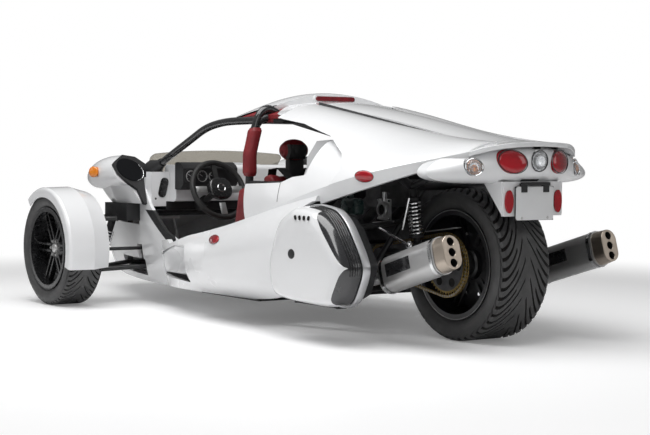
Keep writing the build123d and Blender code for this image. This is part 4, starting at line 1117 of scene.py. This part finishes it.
def makeScoop(spec):
    inside = surfaceTree("nose_body")

    def face(low, high, deep, finish, name):
        bm = bmesh.new()
        bmesh.ops.create_grid(bm, x_segments=40, y_segments=18, size=0.5)
        for vert in bm.verts:
            u, v = vert.co.x + 0.5, vert.co.y + 0.5
            x = spec["front"] + (spec["rear"] - spec["front"]) * u
            z = alongLine(low, x) + (alongLine(high, x) - alongLine(low, x)) * v
            trough = max(0.0, 1 - (2 * v - 1) ** 2) ** 0.6
            y = podSide(x, z) - spec["edge"] - deep * u ** 1.15 * trough
            behind = inside.ray_cast(Vector((x, 2.0, z)), Vector((0, -1, 0)))[0]
            vert.co = (x, max(y, behind.y + 0.0015) if behind else y, z)
        bmesh.ops.recalc_face_normals(bm, faces=bm.faces)
        putPiece(bothSides(thicken(bm, 0.0012)), name, finish, "chassis", (), 60.0)

    face(spec["low"], spec["top"], spec["deep"], "pearlWhite", "podScoops")
    # black sheet under the trough, painted shade for the dark slot opening
    face(spec["floor"], spec["low"], spec["deep"] * 0.35, "mouldedBlack", "podSlots")


makeScoop(scoop)
print("mirrors, boots and dark strips made")

# engine bay: throttle, linkage, bottle and chain guard behind the left quarter
engineBay = {"throttle": (-1.011, 0.268, 0.561), "throttleRadius": 0.036, "bore": 0.66, "flange": (0.092, 0.007, 0.096),
             "bolts": ((-0.038, -0.040), (0.038, -0.040), (-0.038, 0.040), (0.038, 0.040)),
             "ball": (-1.247, 0.300, 0.417), "ballSize": (0.018, 0.018, 0.018),
             "rods": (((-1.012, 0.300, 0.487), (-1.247, 0.300, 0.417), 0.0060),
                      ((-1.241, 0.300, 0.621), (-1.195, 0.300, 0.483), 0.0055),
                      ((-0.939, 0.262, 0.500), (-1.097, 0.262, 0.511), 0.0050),
                      ((-1.017, 0.262, 0.600), (-1.017, 0.262, 0.640), 0.0120)),
             "bottle": (-0.955, 0.392, 0.575), "bottleSize": (0.110, 0.060, 0.075), "neck": (0.02, 0.034, 0.052, 0.017),
             "guard": ((-1.205, 0.168, 0.470), (-1.420, 0.168, 0.498)), "guardSize": (0.026, 0.0045)}


def makeEngineBay(spec):
    at, rad = Vector(spec["throttle"]), spec["throttleRadius"]
    bore = rad * spec["bore"]
    alloy, dark, chrome, bottle, guard = (bmesh.new() for _ in range(5))
    lathe(alloy, [(bore, -0.010), (rad, -0.010), (rad, 0.004), (rad * 0.90, 0.008), (bore, 0.008), (bore, -0.010)],
          at, (0, 1, 0), 36)
    tidyNormals(alloy)
    addBox(alloy, at + Vector((0, -0.014, 0)), spec["flange"], None, 0.003)
    for dx, dz in spec["bolts"]:
        addBar(chrome, at + Vector((dx, -0.012, dz)), at + Vector((dx, -0.004, dz)), 0.0055, None, 6)
    # dark disc inside the bore, painted shade for its depth
    addBar(dark, at + Vector((0, -0.010, 0)), at + Vector((0, -0.002, 0)), bore, None, 30)
    for start, end, size in spec["rods"]:
        addBar(chrome, start, end, size, None, 14)
    addDome(chrome, spec["ball"], Matrix.Identity(4), spec["ballSize"], 12, 20)
    middle = Vector(spec["bottle"])
    addBox(bottle, middle, spec["bottleSize"], None, 0.016, 3)
    neckX, low, high, neck = spec["neck"]
    addBar(bottle, middle + Vector((neckX, 0, low)), middle + Vector((neckX, 0, high)), neck, None, 20)
    start, end = (Vector(p) for p in spec["guard"])
    run = end - start
    lean = Matrix.Rotation(-math.atan2(run.z, run.x) + math.pi, 4, "Y")
    addBox(guard, (start + end) / 2, (run.length, *spec["guardSize"]), lean, 0.0018)
    putPiece(alloy, "throttleBody", "millAlloy", "chassis")
    putPiece(dark, "throttleBoreShade", "soot", "chassis")
    putPiece(chrome, "engineRods", "brightChrome", "chassis")
    putPiece(bottle, "coolantBottle", "bottleGreen", "chassis")
    putPiece(guard, "chainGuard", "brushedSteel", "chassis")


makeEngineBay(engineBay)
print("engine bay filled")

# dash: switch panel, dial panel and dials
dash = {"panel": (0.4640, 0.318, 0.680), "panelSize": (0.206, 0.074),
        "dials": ((0.384, 0.680, 0.028), (0.316, 0.680, 0.028), (0.256, 0.680, 0.020)), "marks": 9,
        "rockers": (-0.028, 0.0, 0.028),
        "switch": (0.6232, 0.456, 0.618), "switchSize": (0.046, 0.104), "switchLean": 14.0,
        "screw": (0.6238, 0.500, 0.560)}


def makeDash(spec):
    panel, rings, marks, switch, rockers = (bmesh.new() for _ in range(5))
    addSlab(panel, spec["panel"], (*spec["panelSize"], 0.008), rearward, 0.022)
    face = spec["panel"][0] - 0.0045
    for y, z, rad in spec["dials"]:
        at = Vector((face, y, z))
        addRing(rings, at, rearward, rad, rad, 0.0022, 40)
        addBar(marks, at, (face - 0.0012, y + 0.6 * rad, z + 0.35 * rad), 0.0011, None, 6)  # needle
        for k in range(spec["marks"]):
            turn = math.radians(-30 + 30 * k)
            arm = Vector((0, math.cos(turn), math.sin(turn)))
            addBar(marks, at + arm * 0.72 * rad, at + arm * 0.90 * rad, 0.0008, None, 5)
    turn = rearward @ Matrix.Rotation(math.radians(-spec["switchLean"]), 4, "Z")
    addSlab(switch, spec["switch"], (*spec["switchSize"], 0.008), turn, 0.021)
    for step in spec["rockers"]:
        at = Vector(spec["switch"]) + turn.to_3x3() @ Vector((0, step, 0.005))
        addBox(rockers, at, (0.024, 0.020, 0.005), turn, 0.002)
    addDome(rockers, spec["screw"], rearward, (0.006, 0.006, 0.002), 6, 16)
    putPiece(panel, "dialPanel", "mouldedBlack", "chassis")
    putPiece(rings, "dialRims", "brushedSteel", "chassis")
    putPiece(marks, "dialMarks", "plateWhite", "chassis")
    putPiece(switch, "switchPanel", "glossBlack", "chassis")
    putPiece(rockers, "switchRockers", "mouldedBlack", "chassis")


makeDash(dash)

# steering wheel: pad, spoke trims and a plain ring
handWheel = {"place": (0.386, 0.262, 0.610), "tilt": 24.0, "pad": (0.132, 0.116, 0.030), "padOut": 0.016,
             "spokes": (0, 180, 270), "trimAt": 0.106, "trim": (0.066, 0.036, 0.009), "ringOut": 0.0315, "ring": 0.021}
pedalRubber = {"x": 0.9245, "pedals": (0.177, 0.262, 0.347), "rows": 5, "low": 0.257, "step": 0.014,
               "size": (0.005, 0.046, 0.006)}


def makeHandWheel(spec):
    tilt = math.radians(spec["tilt"])
    out = Vector((-math.cos(tilt), 0, math.sin(tilt)))
    turn = faceTurn(out)
    at = Vector(spec["place"])
    pad, trims, ring = (bmesh.new() for _ in range(3))
    addSlab(pad, at + out * spec["padOut"], spec["pad"], turn, 0.050, 8)
    for angle in spec["spokes"]:
        arm = turn.to_3x3() @ Vector((math.cos(math.radians(angle)), math.sin(math.radians(angle)), 0))
        spoke = Matrix((arm, out.cross(arm), out)).transposed().to_4x4()
        addBox(trims, at + arm * spec["trimAt"] + out * 0.007, spec["trim"], spoke, 0.003)
    addRing(ring, at + out * spec["ringOut"], turn, spec["ring"], spec["ring"], 0.0024, 36)
    softEdge(putPiece(pad, "wheelPad", "glossBlack", "steering_wheel_body"), 0.008, 3)
    putPiece(trims, "wheelTrims", "millAlloy", "steering_wheel_body")
    putPiece(ring, "wheelRing", "brightChrome", "steering_wheel_body")


def makePedalRubbers(spec):
    pads = bmesh.new()
    for y in spec["pedals"]:
        for k in range(spec["rows"]):
            addBox(pads, (spec["x"], y, spec["low"] + spec["step"] * k), spec["size"], None, 0.0015)
    putPiece(pads, "pedalRubbers", "mouldedBlack", "chassis")


makeHandWheel(handWheel)
makePedalRubbers(pedalRubber)
print("dash and steering wheel detailed")

# roof lining; shelf, cross wall and side walls behind the seats
lining = {"low": 0.948, "high": 0.978, "front": -0.060, "rear": -0.436, "half": 0.418, "redFrom": -0.120,
          "redTo": -0.360, "redWide": 0.034, "edgeIn": 0.010, "edgeDown": 0.004,
          "shelf": (((-0.510, 0.420, 0.664), (0.210, 0.130, 0.022)), ((-0.345, 0.502, 0.664), (0.130, 0.046, 0.022))),
          "crossWall": ((-0.797, 0, 0.695), (0.006, 0.801, 0.090)),
          "wall": ((-0.610, 0.680), (-0.612, 0.786), (-0.690, 0.864), (-0.800, 0.870), (-0.800, 0.680)),
          "wallAt": 0.397, "wallThick": 0.004}


def prism(outline, low, high, inset, round=0.02, segments=3):
    # closed form from a side outline in X and Z, drawn in by an inset
    bm = bmesh.new()
    middle = sum((Vector(p) for p in outline), Vector((0, 0))) / len(outline)
    ring = []
    for x, z in outline:
        arm = Vector((x, z)) - middle
        arm *= max(0.0, 1 - inset / max(arm.length, 1e-6))
        ring.append(bm.verts.new((middle.x + arm.x, low + inset, middle.y + arm.y)))
    face = bm.faces.new(ring)
    grown = bmesh.ops.extrude_face_region(bm, geom=[face])["geom"]
    farSide = [item for item in grown if isinstance(item, bmesh.types.BMVert)]
    bmesh.ops.translate(bm, vec=(0, high - low - 2 * inset, 0), verts=farSide)
    bmesh.ops.recalc_face_normals(bm, faces=bm.faces)
    if round:
        bevelEdges(bm, bm.edges[:], round, segments)
    return bm


def makeLining(spec):
    dark, red, shelf = (bmesh.new() for _ in range(3))
    middle, tall = (spec["low"] + spec["high"]) / 2, spec["high"] - spec["low"]
    addBox(dark, ((spec["front"] + spec["rear"]) / 2, 0, middle),
           (spec["front"] - spec["rear"], 2 * spec["half"], tall), None, 0.010, 3)
    for sign in (1, -1):
        addBox(red, ((spec["redFrom"] + spec["redTo"]) / 2, sign * (spec["half"] - 0.012), middle + 0.003),
               (spec["redFrom"] - spec["redTo"], spec["redWide"], tall + 0.004), None, 0.012, 3)
        for (x, y, z), size in spec["shelf"]:
            addBox(shelf, (x, sign * y, z), size, None, 0.006)
    addBox(shelf, *spec["crossWall"], None, 0.002)
    edge = nodeCopy("roof_panel", True)
    cutAlong(edge, paint["roofEdge"])
    bmesh.ops.delete(edge, geom=[face for face in edge.faces if not underRoofEdge(face)], context="FACES")
    for vert in edge.verts:
        vert.co -= Vector((0, math.copysign(spec["edgeIn"], vert.co.y), spec["edgeDown"]))
    putPiece(edge, "roofEdgeLining", "redLeather", "chassis")
    putPiece(dark, "roofLining", "blackLeather", "chassis")
    putPiece(red, "roofLiningSides", "redLeather", "chassis")
    putPiece(shelf, "rearShelf", "mouldedBlack", "chassis")
    wall = prism(spec["wall"], spec["wallAt"], spec["wallAt"] + spec["wallThick"], 0.0, 0.0)
    putPiece(bothSides(wall), "rearSideWalls", "pearlWhite", "chassis")


makeLining(lining)

# smooth tubes: screen bars and the hoop's shoulders; white filler beside the high lamp
tubes = {
    "screenBar": {"radius": 0.019,
                  "points": ((0.750, 0.445, 0.300), (0.738, 0.456, 0.560), (0.728, 0.462, 0.706), (0.560, 0.460, 0.778),
                             (0.330, 0.456, 0.872), (0.200, 0.453, 0.928), (0.040, 0.448, 0.956),
                             (-0.130, 0.442, 0.961), (-0.305, 0.436, 0.962))},
    "hoopShoulder": {"radius": 0.0205,
                     "points": ((-0.300, 0.506, 0.850), (-0.300, 0.480, 0.940), (-0.300, 0.454, 1.000),
                                (-0.302, 0.412, 1.018), (-0.304, 0.372, 1.000), (-0.306, 0.340, 0.985))},
}
roofStep = {"x": -0.2700, "from": 0.121, "to": 0.430, "steps": 8, "top": (0.993, 0.102, 0.438),
            "low": (0.980, 0.070, 0.439)}


def addPipe(bm, points, radius):
    data = bpy.data.curves.new("pipe", "CURVE")
    data.dimensions = "3D"
    data.bevel_depth, data.bevel_resolution, data.use_fill_caps = radius, 5, True
    line = data.splines.new("NURBS")
    line.points.add(len(points) - 1)
    for spot, at in zip(line.points, points):
        spot.co = (*at, 1.0)
    line.order_u, line.use_endpoint_u, line.resolution_u = 3, True, 8
    obj = bpy.data.objects.new("pipe", data)
    scene.collection.objects.link(obj)
    mesh = bpy.data.meshes.new_from_object(obj.evaluated_get(bpy.context.evaluated_depsgraph_get()))
    bm.from_mesh(mesh)
    bpy.data.objects.remove(obj)
    bpy.data.meshes.remove(mesh)


def makeTubes(specs):
    bar, shoulder = specs["screenBar"], specs["hoopShoulder"]
    for sign, side in ((1, "left"), (-1, "right")):
        pipe = bmesh.new()
        addPipe(pipe, [(x, sign * y, z) for x, y, z in bar["points"]], bar["radius"])
        tidyNormals(pipe)
        putPiece(pipe, "screenBar" + side.capitalize(), "glossBlack", "chassis",
                 ("screen_bar_" + side,), 60.0)
    hoop = bmesh.new()
    addPipe(hoop, shoulder["points"], shoulder["radius"])
    tidyNormals(hoop)
    putPiece(bothSides(hoop), "hoopShoulders", "glossBlack", "chassis", (), 60.0)


def makeRoofStep(spec):
    ys = [spec["from"] + (spec["to"] - spec["from"]) * k / spec["steps"] for k in range(spec["steps"] + 1)]

    def edge(base, rise, half):  # arched edge of the wall
        return [(spec["x"], y, base + rise * (1 - (y / half) ** 2)) for y in ys]

    wall = stripBetween(edge(*spec["top"]), edge(*spec["low"]), 3, 4)
    putPiece(bothSides(thicken(wall, 0.002)), "roofStepWall", "pearlWhite", "chassis")


makeTubes(tubes)
makeRoofStep(roofStep)
print("tubes bent")

# upholstery, swelled by cloth pressure from slightly smaller forms
padding = {"pan": {"voxel": 0.0075, "cap": 0.014, "fill": 0.7}, "back": {"voxel": 0.0075, "cap": 0.014, "fill": 0.7},
           "bolster": {"voxel": 0.007, "cap": 0.012, "fill": 0.8}, "head": {"voxel": 0.005, "cap": 0.012, "fill": 0.85},
           "hoop": {"voxel": 0.005, "cap": 0.008, "fill": 0.8}}
cushioning = {"pressure": 4.0, "frames": 20, "quickShare": 0.6}
seat = {"x": -0.244, "y": 0.262, "panHalf": 0.162, "backHalf": 0.160, "seams": (-0.075, 0.0, 0.075),
        "pan": ((0.012, 0.232), (0.012, 0.326), (0.060, 0.340), (0.410, 0.298), (0.462, 0.250), (0.455, 0.205)),
        "back": ((0.004, 0.345), (-0.094, 0.690), (-0.062, 0.716), (-0.012, 0.706), (0.084, 0.372), (0.060, 0.350)),
        "bolster": ((0.026, 0.350), (-0.066, 0.620), (0.040, 0.655), (0.108, 0.640), (0.140, 0.540), (0.176, 0.420),
                    (0.428, 0.376), (0.436, 0.306), (0.060, 0.336)),
        "bolsters": (("seatOuter", 0.186), ("seatInner", -0.186)), "bolsterHalf": 0.022}
headRest = {"x": -0.312, "side": 0.008, "z": 0.8195, "size": (0.052, 0.080, 0.054),
            "gathers": (-6, -5.1, -4.2, 4.2, 5.1, 6), "step": 0.012, "ribX": -0.316,
            "ribSize": (0.066, 0.094, 0.068), "ribMiddle": 0.020,
            "ribSide": (-0.022, 0.064), "ribBehind": -0.328, "ribLow": 0.778, "ribHigh": 0.848}
seatBase = (((-0.010, 0.0, 0.1875), (0.440, 0.330, 0.096)), ((-0.318, 0.006, 0.738), (0.040, 0.090, 0.090)))
belt = {"shifts": (-0.085, 0.085), "half": 0.024, "thick": 0.002, "lowFrom": 0.7, "lowShare": 0.85,
        "path": ((-0.420, 0.640), (-0.378, 0.690), (-0.318, 0.736), (-0.246, 0.728), (-0.196, 0.600), (-0.142, 0.430),
                 (-0.070, 0.372))}
hoopSleeve = {"x": -0.300, "y": 0.5125, "z": 0.811, "size": (0.060, 0.058, 0.234), "bendFrom": 0.800, "bend": 0.246,
              "seams": (0.705, 0.918)}


def puffed(bm, spec, name):
    mesh = bpy.data.meshes.new(name)
    bm.to_mesh(mesh)
    bm.free()
    obj = bpy.data.objects.new(name, mesh)
    scene.collection.objects.link(obj)
    fine = obj.modifiers.new("remesh", "REMESH")
    fine.mode = "VOXEL"
    fine.voxel_size = spec["voxel"]
    start = bpy.data.meshes.new_from_object(obj.evaluated_get(bpy.context.evaluated_depsgraph_get()))
    obj.modifiers.clear()
    obj.data = start
    rest = [vert.co.copy() for vert in start.vertices]
    cloth = obj.modifiers.new("cloth", "CLOTH")
    cloth.settings.use_pressure = True
    cloth.settings.uniform_pressure_force = cushioning["pressure"]
    cloth.settings.effector_weights.gravity = 0.0
    for count in range(cushioning["frames"]):
        scene.frame_set(count + 1)
    swollen = obj.evaluated_get(bpy.context.evaluated_depsgraph_get()).to_mesh()
    moved = [vert.co.copy() for vert in swollen.vertices]
    obj.modifiers.clear()
    scene.frame_set(1)
    for vert, was, now in zip(start.vertices, rest, moved):
        step = now - was
        vert.co = was + step * min(1.0, spec["cap"] / max(step.length, 1e-9))
    out = bmesh.new()
    out.from_mesh(start)
    bpy.data.objects.remove(obj)
    return out


def sewn(bm, lines, axis, deep, wide):
    # pressed seams where a coordinate crosses the stated values
    bm.normal_update()
    normals = [vert.normal.copy() for vert in bm.verts]
    for vert, normal in zip(bm.verts, normals):
        near = min(abs(vert.co[axis] - line) for line in lines)
        vert.co -= normal * deep * math.exp(-(near / wide) ** 2)
    return bm


def putPad(bm, name, stands):
    # one padded piece on each side, the second mirrored
    mesh = bpy.data.meshes.new(name)
    bm.to_mesh(mesh)
    bm.free()
    for sign, label in ((1, "Left"), (-1, "Right")):
        side = bmesh.new()
        side.from_mesh(mesh)
        if sign < 0:
            bmesh.ops.scale(side, vec=(1, -1, 1), verts=side.verts)
            bmesh.ops.reverse_faces(side, faces=side.faces)
        node = stands + label.lower() if stands.endswith("_") else stands
        obj = putPiece(side, name + label, "redLeather", "chassis", (node,), 80.0)
        smooth = obj.modifiers.new("smooth", "SUBSURF")
        smooth.levels = smooth.render_levels = 1
    bpy.data.meshes.remove(mesh)


def makeSeats(spec):
    y = spec["y"]
    seams = [y + shift for shift in spec["seams"]]

    def form(kind, middle, half, inset, round):
        outline = [(spec["x"] + x, z) for x, z in spec[kind]]
        return puffed(prism(outline, middle - half, middle + half, inset, round), padding[kind], kind)

    for kind, name, half in (("pan", "seatPan", spec["panHalf"]), ("back", "seatBack", spec["backHalf"])):
        cushion = sewn(form(kind, y, half, 0.006, 0.02), seams, 1, 0.006, 0.007)
        putPad(cushion, name, "seat_")
    for name, shift in spec["bolsters"]:
        bolster = form("bolster", y + shift, spec["bolsterHalf"], 0.004, 0.012)
        putPad(bolster, name, "seat_")


def makeHeadRests(spec, y):
    head, ribs = bmesh.new(), bmesh.new()
    addDome(head, (spec["x"], y + spec["side"], spec["z"]), Matrix.Identity(4), spec["size"], 16, 32)
    gathers = [y + spec["side"] + spec["step"] * k for k in spec["gathers"]]
    head = sewn(puffed(head, padding["head"], "head"), gathers, 1, 0.0035, 0.004)
    putPad(head, "headRest", "seat_")
    addDome(ribs, (spec["ribX"], y + spec["side"], spec["z"]), Matrix.Identity(4), spec["ribSize"], 48, 64)
    right, left = spec["ribSide"]
    for point, normal in (((spec["ribBehind"], 0, 0), (1, 0, 0)), ((0, y + left, 0), (0, 1, 0)),
                          ((0, y + right, 0), (0, -1, 0)), ((0, 0, spec["ribHigh"]), (0, 0, 1)),
                          ((0, 0, spec["ribLow"]), (0, 0, -1))):
        cut = bmesh.ops.bisect_plane(ribs, geom=wholeGeom(ribs), dist=0.00001, plane_co=point, plane_no=normal,
                                     clear_outer=True)["geom_cut"]
        bmesh.ops.holes_fill(ribs, edges=[item for item in cut if isinstance(item, bmesh.types.BMEdge)])
    bmesh.ops.recalc_face_normals(ribs, faces=ribs.faces)
    return sewn(ribs, [y + spec["ribMiddle"] + spec["step"] * k for k in range(-3, 4)], 1, 0.005, 0.003)


def makeSeatTrim(ribs, boxes, spec, y):
    base, belts = bmesh.new(), bmesh.new()
    for (x, side, z), size in boxes:
        addBox(base, (x, y + side, z), size, None, 0.012)
    putPiece(bothSides(base), "seatBases", "mouldedBlack", "chassis")
    putPiece(bothSides(ribs), "headRestRibs", "blackLeather", "chassis")
    for shift in spec["shifts"]:
        middle = [(x, y + shift * (1.0 if z > spec["lowFrom"] else spec["lowShare"]), z) for x, z in spec["path"]]
        right, left = ([(x, at + w, z) for x, at, z in middle] for w in (-spec["half"], spec["half"]))
        joinInto(belts, thicken(stripBetween(right, left, 2, 6), spec["thick"]))
    putPiece(bothSides(belts), "shoulderBelts", "webbing", "chassis")


def makeHoopPads(spec):
    sleeve = bmesh.new()
    addBox(sleeve, (spec["x"], 0.0, spec["z"]), spec["size"], None, 0.016, 3)
    upright = [edge for edge in sleeve.edges if abs(edge.verts[0].co.z - edge.verts[1].co.z) > 0.1]
    bmesh.ops.subdivide_edges(sleeve, edges=upright, cuts=12)
    for vert in sleeve.verts:
        vert.co.y += spec["y"] - spec["bend"] * max(0.0, vert.co.z - spec["bendFrom"])
    sleeve = sewn(puffed(sleeve, padding["hoop"], "hoop"), spec["seams"], 2, 0.003, 0.004)
    putPad(sleeve, "hoopPad", "cage_pads")


makeSeats(seat)
restRibs = makeHeadRests(headRest, seat["y"])
makeSeatTrim(restRibs, seatBase, belt, seat["y"])
makeHoopPads(hoopSleeve)
print("upholstery swelled")

# camera solved from the three wheels of the photograph
cameraView = {"place": (-6.41755, 4.44770, 0.83631), "forward": (0.81254527, -0.58110056, -0.04574191), "roll": 0.4844,
              "lens": 85.11, "sensor": 36.0}


def makeCamera(spec):
    data = bpy.data.cameras.new("photoCamera")
    data.lens = spec["lens"]
    data.sensor_width = spec["sensor"]
    data.clip_end = 100.0
    camera = bpy.data.objects.new("photoCamera", data)
    scene.collection.objects.link(camera)
    ahead = Vector(spec["forward"]).normalized()
    right = ahead.cross(Vector((0, 0, 1))).normalized()
    up = right.cross(ahead)
    turn = math.radians(spec["roll"])
    right, up = right * math.cos(turn) + up * math.sin(turn), up * math.cos(turn) - right * math.sin(turn)
    basis = Matrix((right, up, -ahead)).transposed()
    camera.matrix_world = Matrix.Translation(spec["place"]) @ basis.to_4x4()
    scene.camera = camera


makeCamera(cameraView)

# pale floor, white world and four light panels
studio = {"floorSize": 60.0, "floor": (0.90, 0.90, 0.905, 1), "world": 0.20, "clearFrom": 2.6,
          "clearTo": 4.6, "lift": 0.16}
lightPanels = {
    "topPanel": {"place": (-0.6, 1.4, 4.0), "aim": (-0.2, 0, 0.3), "size": (5.0, 3.0), "power": 205.0},
    "keyPanel": {"place": (-4.6, 4.2, 3.4), "aim": (-0.3, 0.2, 0.5), "size": (3.0, 2.0), "power": 26.0},
    "fillPanel": {"place": (2.5, 5.0, 2.2), "aim": (0.5, 0.3, 0.4), "size": (3.0, 2.0), "power": 16.0},
    "rearPanel": {"place": (-5.0, -3.0, 2.4), "aim": (-1.2, 0, 0.6), "size": (2.4, 2.0), "power": 16.0},
}


def addMath(tree, kind, *values):
    node = tree.nodes.new("ShaderNodeMath")
    node.operation = kind
    for socket, value in zip(node.inputs, values):
        if isinstance(value, (int, float)):
            socket.default_value = value
        else:
            tree.links.new(value, socket)
    return node.outputs[0]


def seenRay(tree):
    # one for what the camera sees, also through glass
    path = tree.nodes.new("ShaderNodeLightPath")
    return addMath(tree, "MAXIMUM", path.outputs["Is Camera Ray"], path.outputs["Is Transmission Ray"])


def makeFloor(spec):
    bm = bmesh.new()
    bmesh.ops.create_grid(bm, x_segments=1, y_segments=1, size=spec["floorSize"] / 2)
    mesh = bpy.data.meshes.new("studioFloor")
    bm.to_mesh(mesh)
    bm.free()
    floor = bpy.data.objects.new("studioFloor", mesh)
    scene.collection.objects.link(floor)
    mat = bpy.data.materials.new("paleFloor")
    mat.use_nodes = True
    tree = mat.node_tree
    bsdf = tree.nodes["Principled BSDF"]
    bsdf.inputs["Base Color"].default_value = spec["floor"]
    bsdf.inputs["Roughness"].default_value = 0.5
    bsdf.inputs["Specular IOR Level"].default_value = 0.25
    bsdf.inputs["Emission Color"].default_value = (1, 1, 1, 1)
    seen = seenRay(tree)
    tree.links.new(addMath(tree, "MULTIPLY", seen, spec["lift"]), bsdf.inputs["Emission Strength"])
    glow = tree.nodes.new("ShaderNodeEmission")  # plain white away from the object
    away = tree.nodes.new("ShaderNodeTexCoord")
    far = tree.nodes.new("ShaderNodeVectorMath")
    far.operation = "LENGTH"
    tree.links.new(away.outputs["Object"], far.inputs[0])
    fade = tree.nodes.new("ShaderNodeMapRange")
    fade.interpolation_type = "SMOOTHSTEP"
    fade.inputs["From Min"].default_value = spec["clearFrom"]
    fade.inputs["From Max"].default_value = spec["clearTo"]
    tree.links.new(far.outputs["Value"], fade.inputs["Value"])
    mix = tree.nodes.new("ShaderNodeMixShader")
    tree.links.new(addMath(tree, "MULTIPLY", fade.outputs["Result"], seen), mix.inputs[0])
    tree.links.new(bsdf.outputs[0], mix.inputs[1])
    tree.links.new(glow.outputs[0], mix.inputs[2])
    tree.links.new(mix.outputs[0], tree.nodes["Material Output"].inputs["Surface"])
    mesh.materials.append(mat)


def makeWorld(spec):
    world = bpy.data.worlds.new("studioWorld")
    scene.world = world
    world.use_nodes = True
    tree = world.node_tree
    back = tree.nodes["Background"]
    back.inputs["Color"].default_value = (1, 1, 1, 1)
    seen = seenRay(tree)
    level = tree.nodes.new("ShaderNodeMapRange")
    level.inputs["To Min"].default_value = spec["world"]
    level.inputs["To Max"].default_value = 1.0
    tree.links.new(seen, level.inputs["Value"])
    tree.links.new(level.outputs["Result"], back.inputs["Strength"])


def addPanel(name, spec):
    data = bpy.data.lights.new(name, "AREA")
    data.shape = "RECTANGLE"
    data.size, data.size_y = spec["size"]
    data.energy = spec["power"]
    lamp = bpy.data.objects.new(name, data)
    scene.collection.objects.link(lamp)
    lamp.location = spec["place"]
    lamp.rotation_euler = (Vector(spec["aim"]) - Vector(spec["place"])).to_track_quat("-Z", "Y").to_euler()


makeFloor(studio)
makeWorld(studio)
for panelName, panelValues in lightPanels.items():
    addPanel(panelName, panelValues)
print("studio lit")
